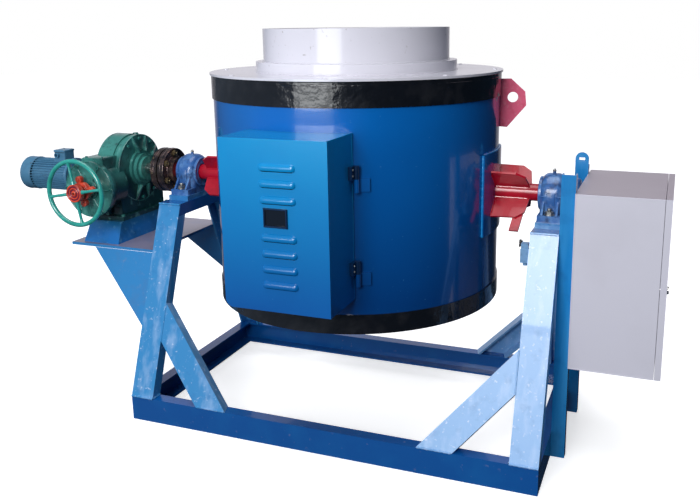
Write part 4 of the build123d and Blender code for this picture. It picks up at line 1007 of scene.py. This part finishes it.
class FURNACE_OT_coupling(bpy.types.Operator):
    """Add washers, bolt tips and turned beads to the coupling"""

    bl_idname = "furnace.coupling"
    bl_label = "Coupling fittings"

    def execute(self, context):
        low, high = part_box("coupling_hubs")
        faces = ((high[0] - 0.026, 1), (low[0] + 0.014, -1))
        bolt_circle = 0.074
        washers = []
        for index in range(6):
            y, z = around(bolt_circle, 30 + index * 60)
            z += AXIS_Z
            for x, out in faces:
                washers.append(cylinder(0.0155, 0.0024, (x + out * 0.0010, y, z), "x", 28))
                washers.append(cylinder(0.0055, 0.004, (x + out * 0.0145, y, z), "x", 20, 0.001))
        piece("coupling_washers", washers, "vessel", "brass")
        grooves = []
        for x, out in faces:
            for radius, tube, shift, segments, ring in (
                (0.0925, 0.0022, 0.0004, 112, 10),
                (0.0595, 0.0030, 0.0010, 96, 10),
                (0.0948, 0.0012, -0.0135, 112, 8),
            ):
                place = (x + out * shift, 0, AXIS_Z)
                grooves.append(torus(radius, tube, place, "x", segments, ring))
        piece("coupling_beads", grooves, "vessel", "dark_steel")
        return {"FINISHED"}


class FURNACE_OT_bearings(bpy.types.Operator):
    """Add the ribs, cap rings, grease nipples and washers of the bearings"""

    bl_idname = "furnace.bearings"
    bl_label = "Bearing fittings"

    def execute(self, context):
        ribs = []
        nipples = []
        washers = []
        bolt_y = 0.094
        split_y = 0.0748
        split_z = 0.952
        for side in (-1, 1):
            x = side * BEARING_X
            for out in (-1, 1):
                face = (x + out * 0.047, 0, AXIS_Z)
                if side < 0 or out < 0:
                    ribs.append(torus(0.0585, 0.0030, face, "x", 84, 12))
                    ribs.append(torus(0.0405, 0.0022, face, "x", 72, 10))
                for end in (-1, 1):
                    low = (x + out * 0.022, end * 0.068, 0.8895)
                    rib = cuboid(low, (x + out * 0.030, end * 0.109, 0.9350))
                    slice_off(rib, (x, end * 0.106, 0.8935), (0.0, end * 0.80, 0.60))
                    bevel_sharp(rib, 0.0012)
                    ribs.append(rib)
            for end in (-1, 1):
                y = end * bolt_y
                washers.append(cylinder(0.0175, 0.0024, (x, y, 0.8915), "z", 32, 0.0006))
                washers.append(cylinder(0.0080, 0.010, (x, y, 0.9090), "z", 24, 0.0015))
                left, right = [(x + shift, end * split_y, split_z) for shift in (-0.036, 0.036)]
                ribs.append(between(left, right, 0.0022, 10))
            ribs.append(cuboid((x - 0.015, -0.079, 0.918), (x + 0.015, -0.074, 0.966), 0.002))
            nipples.append(cylinder(0.0046, 0.008, (x, 0, 1.0388), "z", 20, 0.001))
            nipples.append(hexagon(0.0072, 0.005, (x, 0, 1.0352), "z", 0.0005))
        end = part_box("bearing_housings")[1][0]
        ribs.append(torus(0.0440, 0.0024, (end - 0.0002, 0, AXIS_Z), "x", 72, 10))
        piece("bearing_ribs", ribs, "stand", "bearing")
        for index in range(4):
            y, z = around(0.030, 45 + index * 90)
            washers.append(hexagon(0.0065, 0.005, (end + 0.0015, y, AXIS_Z + z), "x"))
        piece("bearing_washers", washers, "stand", "zinc")
        piece("grease_nipples", nipples, "stand", "zinc")
        return {"FINISHED"}


class FURNACE_OT_motor(bpy.types.Operator):
    """Add the lid of the terminal box, the screws and the cowl bands of the motor"""

    bl_idname = "furnace.motor"
    bl_label = "Motor fittings"

    def execute(self, context):
        low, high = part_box("terminal_box")
        front = low[1] + 0.012
        lid_low = (low[0] - 0.001, front - 0.001, high[2] - 0.007)
        lid = cuboid(lid_low, (high[0] + 0.001, high[1] + 0.001, high[2] + 0.002), 0.002)
        piece("terminal_lid", [lid], "stand", "motor")
        left, right = [
            (x, front - 0.0002, high[2] - 0.0085) for x in (low[0] + 0.004, high[0] - 0.004)
        ]
        seal = between(left, right, 0.0012, 8)
        piece("terminal_seal", [seal], "stand", "rubber")
        flange_x = -1.2845
        cowl_end_x = -1.4960
        screws = []
        for x in (low[0] + 0.008, high[0] - 0.008):
            for y in (front + 0.008, high[1] - 0.008):
                screws.append(cylinder(0.0036, 0.0024, (x, y, high[2] + 0.0025), "z", 20, 0.0006))
        for index in range(4):
            y, z = around(0.0635, 45 + index * 90)
            screws.append(hexagon(0.0085, 0.007, (flange_x, MOTOR_Y + y, MOTOR_Z + z), "x"))
            y, z = around(0.0722, 45 + index * 90)
            place = (cowl_end_x, MOTOR_Y + y, MOTOR_Z + z)
            screws.append(cylinder(0.0035, 0.002, place, "x", 16))
        piece("motor_screws", screws, "stand", "zinc")
        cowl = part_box("motor_cowl")
        bands = [
            torus(radius, tube, (x, MOTOR_Y, MOTOR_Z), "x", 112, 8)
            for radius, tube, x in (
                (0.0718, 0.0012, cowl[1][0] - 0.004),
                (0.0718, 0.0012, cowl[1][0] - 0.048),
                (0.0745, 0.0018, flange_x - 0.014),
            )
        ]
        piece("cowl_bands", bands, "stand", "motor")
        return {"FINISHED"}


class FURNACE_OT_cabinet(bpy.types.Operator):
    """Add the folded edges and the door seal of the control cabinet"""

    bl_idname = "furnace.cabinet"
    bl_label = "Cabinet fittings"

    def execute(self, context):
        box_low, box_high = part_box("cabinet_box")
        face = CABINET_FRONT - 0.0002
        left = box_low[0] + 0.003
        ends = [
            ((left - 0.001, face, z), (box_high[0] - 0.004, face, z))
            for z in (CABINET_FOOT + 0.003, CABINET_TOP - 0.003)
        ]
        ends.append(((left, face, CABINET_FOOT + 0.002), (left, face, CABINET_TOP - 0.002)))
        seams = [between(start, end, 0.0008, 8) for start, end in ends]
        piece("cabinet_seams", seams, "stand", "cabinet")

        lip = 0.006
        inner = box_high[0] - 0.0002
        outer = inner + 0.0010
        strip = []
        for y in (CABINET_FRONT + lip, CABINET_BACK - lip):
            low = (inner, y - 0.003, CABINET_FOOT + 0.005)
            strip.append(cuboid(low, (outer, y + 0.003, CABINET_TOP - 0.005)))
        for z in (CABINET_FOOT + lip, CABINET_TOP - lip):
            low = (inner, CABINET_FRONT + 0.005, z - 0.003)
            strip.append(cuboid(low, (outer, CABINET_BACK - 0.005, z + 0.003)))
        piece("door_seal", strip, "stand", "cabinet")
        return {"FINISHED"}


class FURNACE_OT_gear(bpy.types.Operator):
    """Add the faces and the terminal screws of the control gear"""

    bl_idname = "furnace.gear"
    bl_label = "Control gear faces"

    def execute(self, context):
        faces = []
        screws = []
        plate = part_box("mounting_plate")[1][0]
        rows = (
            (plate + 0.085, CABINET_TOP - 0.190, CABINET_TOP - 0.100),
            (plate + 0.100, CABINET_TOP - 0.330, CABINET_TOP - 0.240),
        )
        for index in range(3):
            y = CABINET_FRONT + 0.060 + index * 0.062
            for x, low, high in rows:
                corner = (x - 0.001, y + 0.004, low + 0.010)
                faces.append(cuboid(corner, (x + 0.0015, y + 0.044, high - 0.010), 0.0006))
                for shift in (0.012, 0.024, 0.036):
                    for z in (low + 0.006, high - 0.006):
                        screws.append(cylinder(0.0032, 0.003, (x, y + shift, z), "x", 16))
        piece("gear_faces", faces, "stand", "black")
        piece("gear_screws", screws, "stand", "zinc")
        return {"FINISHED"}


class FURNACE_OT_hood(bpy.types.Operator):
    """Add the window rim, the hinge screws and the folded edge of the hood"""

    bl_idname = "furnace.hood"
    bl_label = "Hood fittings"

    def execute(self, context):
        low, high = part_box("hood_window")
        y = low[1]
        rim = []
        for x in (low[0] + 0.003, high[0] - 0.003):
            rim.append(between((x, y, low[2] + 0.002), (x, y, high[2] - 0.002), 0.0024, 10))
        for z in (low[2] + 0.003, high[2] - 0.003):
            rim.append(between((low[0] + 0.002, y, z), (high[0] - 0.002, y, z), 0.0024, 10))
        piece("window_rim", rim, "hood", "navy")

        screws = []
        low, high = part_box("hinge_hood_halves")
        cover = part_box("hood_cover")
        for z in (low[2] + 0.022, high[2] - 0.022):
            for shift in (-0.010, 0.010):
                place = (cover[1][0] + 0.0125, low[1] + 0.012, z + shift)
                screws.append(cylinder(0.0035, 0.003, place, "x", 20, 0.0008))
        piece("hinge_screws", screws, "hood", "zinc")

        side = cover[1][0] - 0.0004
        foot, top = cover[0][2], cover[1][2]
        back = -math.sqrt(SHELL_R ** 2 - side ** 2) - 0.012
        front = cover[0][1] + 0.012
        fold = [(side - 0.002, y, top - 0.0004) for y in (front, back)]
        edges = [
            bead(path([(side, back, foot + 0.004), (side, back, top - 0.004)]), 0.0016),
            bead(path(fold), 0.0014),
        ]
        piece("hood_seams", edges, "hood", "hood")
        return {"FINISHED"}


class FURNACE_OT_stage(bpy.types.Operator):
    """Set the floor, the lights and the camera"""

    bl_idname = "furnace.stage"
    bl_label = "Stage"

    def execute(self, context):
        scene = context.scene
        scene.view_settings.view_transform = "Standard"
        clear()
        bpy.ops.mesh.primitive_plane_add(size=sizes().floor_size, location=(0.0, 0.0, 0.0))
        floor = context.object
        floor.name = "floor"
        finish = material("floor", (0.80, 0.80, 0.81), 0.9)
        shader = finish.node_tree.nodes["Principled BSDF"]
        shader.inputs["Emission Color"].default_value = (1.0, 1.0, 1.0, 1.0)
        shader.inputs["Emission Strength"].default_value = FLOOR_GLOW
        finish.cycles.emission_sampling = "NONE"
        floor.data.materials.append(finish)
        floor.visible_diffuse = False
        floor.visible_glossy = False
        for name, place, power, size, colour, reflects in LIGHTS:
            lamp = self.make_lamp(scene, name, "AREA", power)
            lamp.data.shape = "RECTANGLE"
            lamp.data.size, lamp.data.size_y = size
            lamp.data.color = colour
            lamp.visible_glossy = reflects
            lamp.location = place
            aim = Vector(LIGHT_AIM) - Vector(place)
            lamp.rotation_euler = aim.to_track_quat("-Z", "Y").to_euler()
        ceiling = self.make_lamp(scene, "ceiling", "SUN", SUN_POWER)
        ceiling.data.angle = math.radians(SUN_ANGLE)
        self.make_world(scene)
        self.make_camera(scene)
        return {"FINISHED"}

    def make_lamp(self, scene, name, kind, power):
        lamp = bpy.data.lights.new(name, kind)
        lamp.energy = power
        obj = bpy.data.objects.new(name, lamp)
        scene.collection.objects.link(obj)
        return obj

    def make_world(self, scene):
        world = bpy.data.worlds.new("studio")
        scene.world = world
        world.use_nodes = True
        tree = world.node_tree
        sky = tree.nodes["Background"]
        coords = tree.nodes.new("ShaderNodeTexCoord")
        last = None
        for side, low, high, dim, bright in (
            (GLOW_SIDE, 0.05, 0.95, WORLD_DARK, WORLD_GLOW),
            (BACK_SIDE, 0.78, 0.97, None, WORLD_BACK),
        ):
            dot = tree.nodes.new("ShaderNodeVectorMath")
            dot.operation = "DOT_PRODUCT"
            dot.inputs[1].default_value = Vector(side).normalized()
            spread = tree.nodes.new("ShaderNodeMapRange")
            spread.inputs["From Min"].default_value = low
            spread.inputs["From Max"].default_value = high
            tree.links.new(coords.outputs["Generated"], dot.inputs[0])
            tree.links.new(dot.outputs["Value"], spread.inputs["Value"])
            glow = tree.nodes.new("ShaderNodeMix")
            glow.data_type = "RGBA"
            if dim:
                glow.inputs[6].default_value = (*dim, 1.0)
            else:
                tree.links.new(last, glow.inputs[6])
            glow.inputs[7].default_value = (*bright, 1.0)
            tree.links.new(spread.outputs["Result"], glow.inputs[0])
            last = glow.outputs[2]
        rays = tree.nodes.new("ShaderNodeLightPath")
        seen = tree.nodes.new("ShaderNodeMix")
        seen.data_type = "RGBA"
        seen.inputs[7].default_value = (1.0, 1.0, 1.0, 1.0)
        tree.links.new(rays.outputs["Is Camera Ray"], seen.inputs[0])
        tree.links.new(last, seen.inputs[6])
        tree.links.new(seen.outputs[2], sky.inputs["Color"])
        sky.inputs["Strength"].default_value = 1.0

    def make_camera(self, scene):
        camera = bpy.data.cameras.new("camera")
        width, height = PICTURE
        camera.sensor_width = 36.0
        camera.lens = FOCAL / width * camera.sensor_width
        camera.shift_x = (width / 2 - CENTRE_PX[0]) / width
        camera.shift_y = (CENTRE_PX[1] - height / 2) / width
        camera.clip_end = 200.0
        obj = bpy.data.objects.new("camera", camera)
        scene.collection.objects.link(obj)
        yaw, pitch, roll = (math.radians(value) for value in VIEW_TURN)
        level = Vector((-math.sin(yaw), math.cos(yaw), 0.0))
        forward = level * math.cos(pitch) + Vector(UP) * math.sin(pitch)
        right = Vector((math.cos(yaw), math.sin(yaw), 0.0))
        up = right.cross(forward)
        across = right * math.cos(roll) + up * math.sin(roll)
        upward = up * math.cos(roll) - right * math.sin(roll)
        turn = Matrix((across, upward, -forward)).transposed().to_4x4()
        obj.matrix_world = Matrix.Translation(Vector(VIEW_PLACE)) @ turn
        scene.camera = obj


class FURNACE_PT_panel(bpy.types.Panel):
    """Sizes and colours of the furnace"""

    bl_idname = "FURNACE_PT_panel"
    bl_label = "Furnace"
    bl_space_type = "VIEW_3D"
    bl_region_type = "UI"
    bl_category = "Furnace"

    def draw(self, context):
        layout = self.layout
        for group in (context.scene.furnace_sizes, context.scene.furnace_colours):
            column = layout.column()
            for name in group.__annotations__:
                column.prop(group, name)
        for operator in OPERATORS:
            layout.operator(operator.bl_idname)


OPERATORS = (
    FURNACE_OT_frame, FURNACE_OT_welds, FURNACE_OT_handwheel, FURNACE_OT_clutch,
    FURNACE_OT_gearbox, FURNACE_OT_coupling, FURNACE_OT_bearings, FURNACE_OT_motor,
    FURNACE_OT_cabinet, FURNACE_OT_gear, FURNACE_OT_hood, FURNACE_OT_stage,
)
CLASSES = (FurnaceSizes, FurnaceColours, FURNACE_PT_panel) + OPERATORS


def register():
    for item in CLASSES:
        bpy.utils.register_class(item)
    bpy.types.Scene.furnace_sizes = bpy.props.PointerProperty(type=FurnaceSizes)
    bpy.types.Scene.furnace_colours = bpy.props.PointerProperty(type=FurnaceColours)


def unregister():
    del bpy.types.Scene.furnace_colours
    del bpy.types.Scene.furnace_sizes
    for item in reversed(CLASSES):
        bpy.utils.unregister_class(item)


def main():
    register()
    for operator in OPERATORS:
        group, name = operator.bl_idname.split(".")
        getattr(getattr(bpy.ops, group), name)()
    clear()


if __name__ == "__main__":
    main()
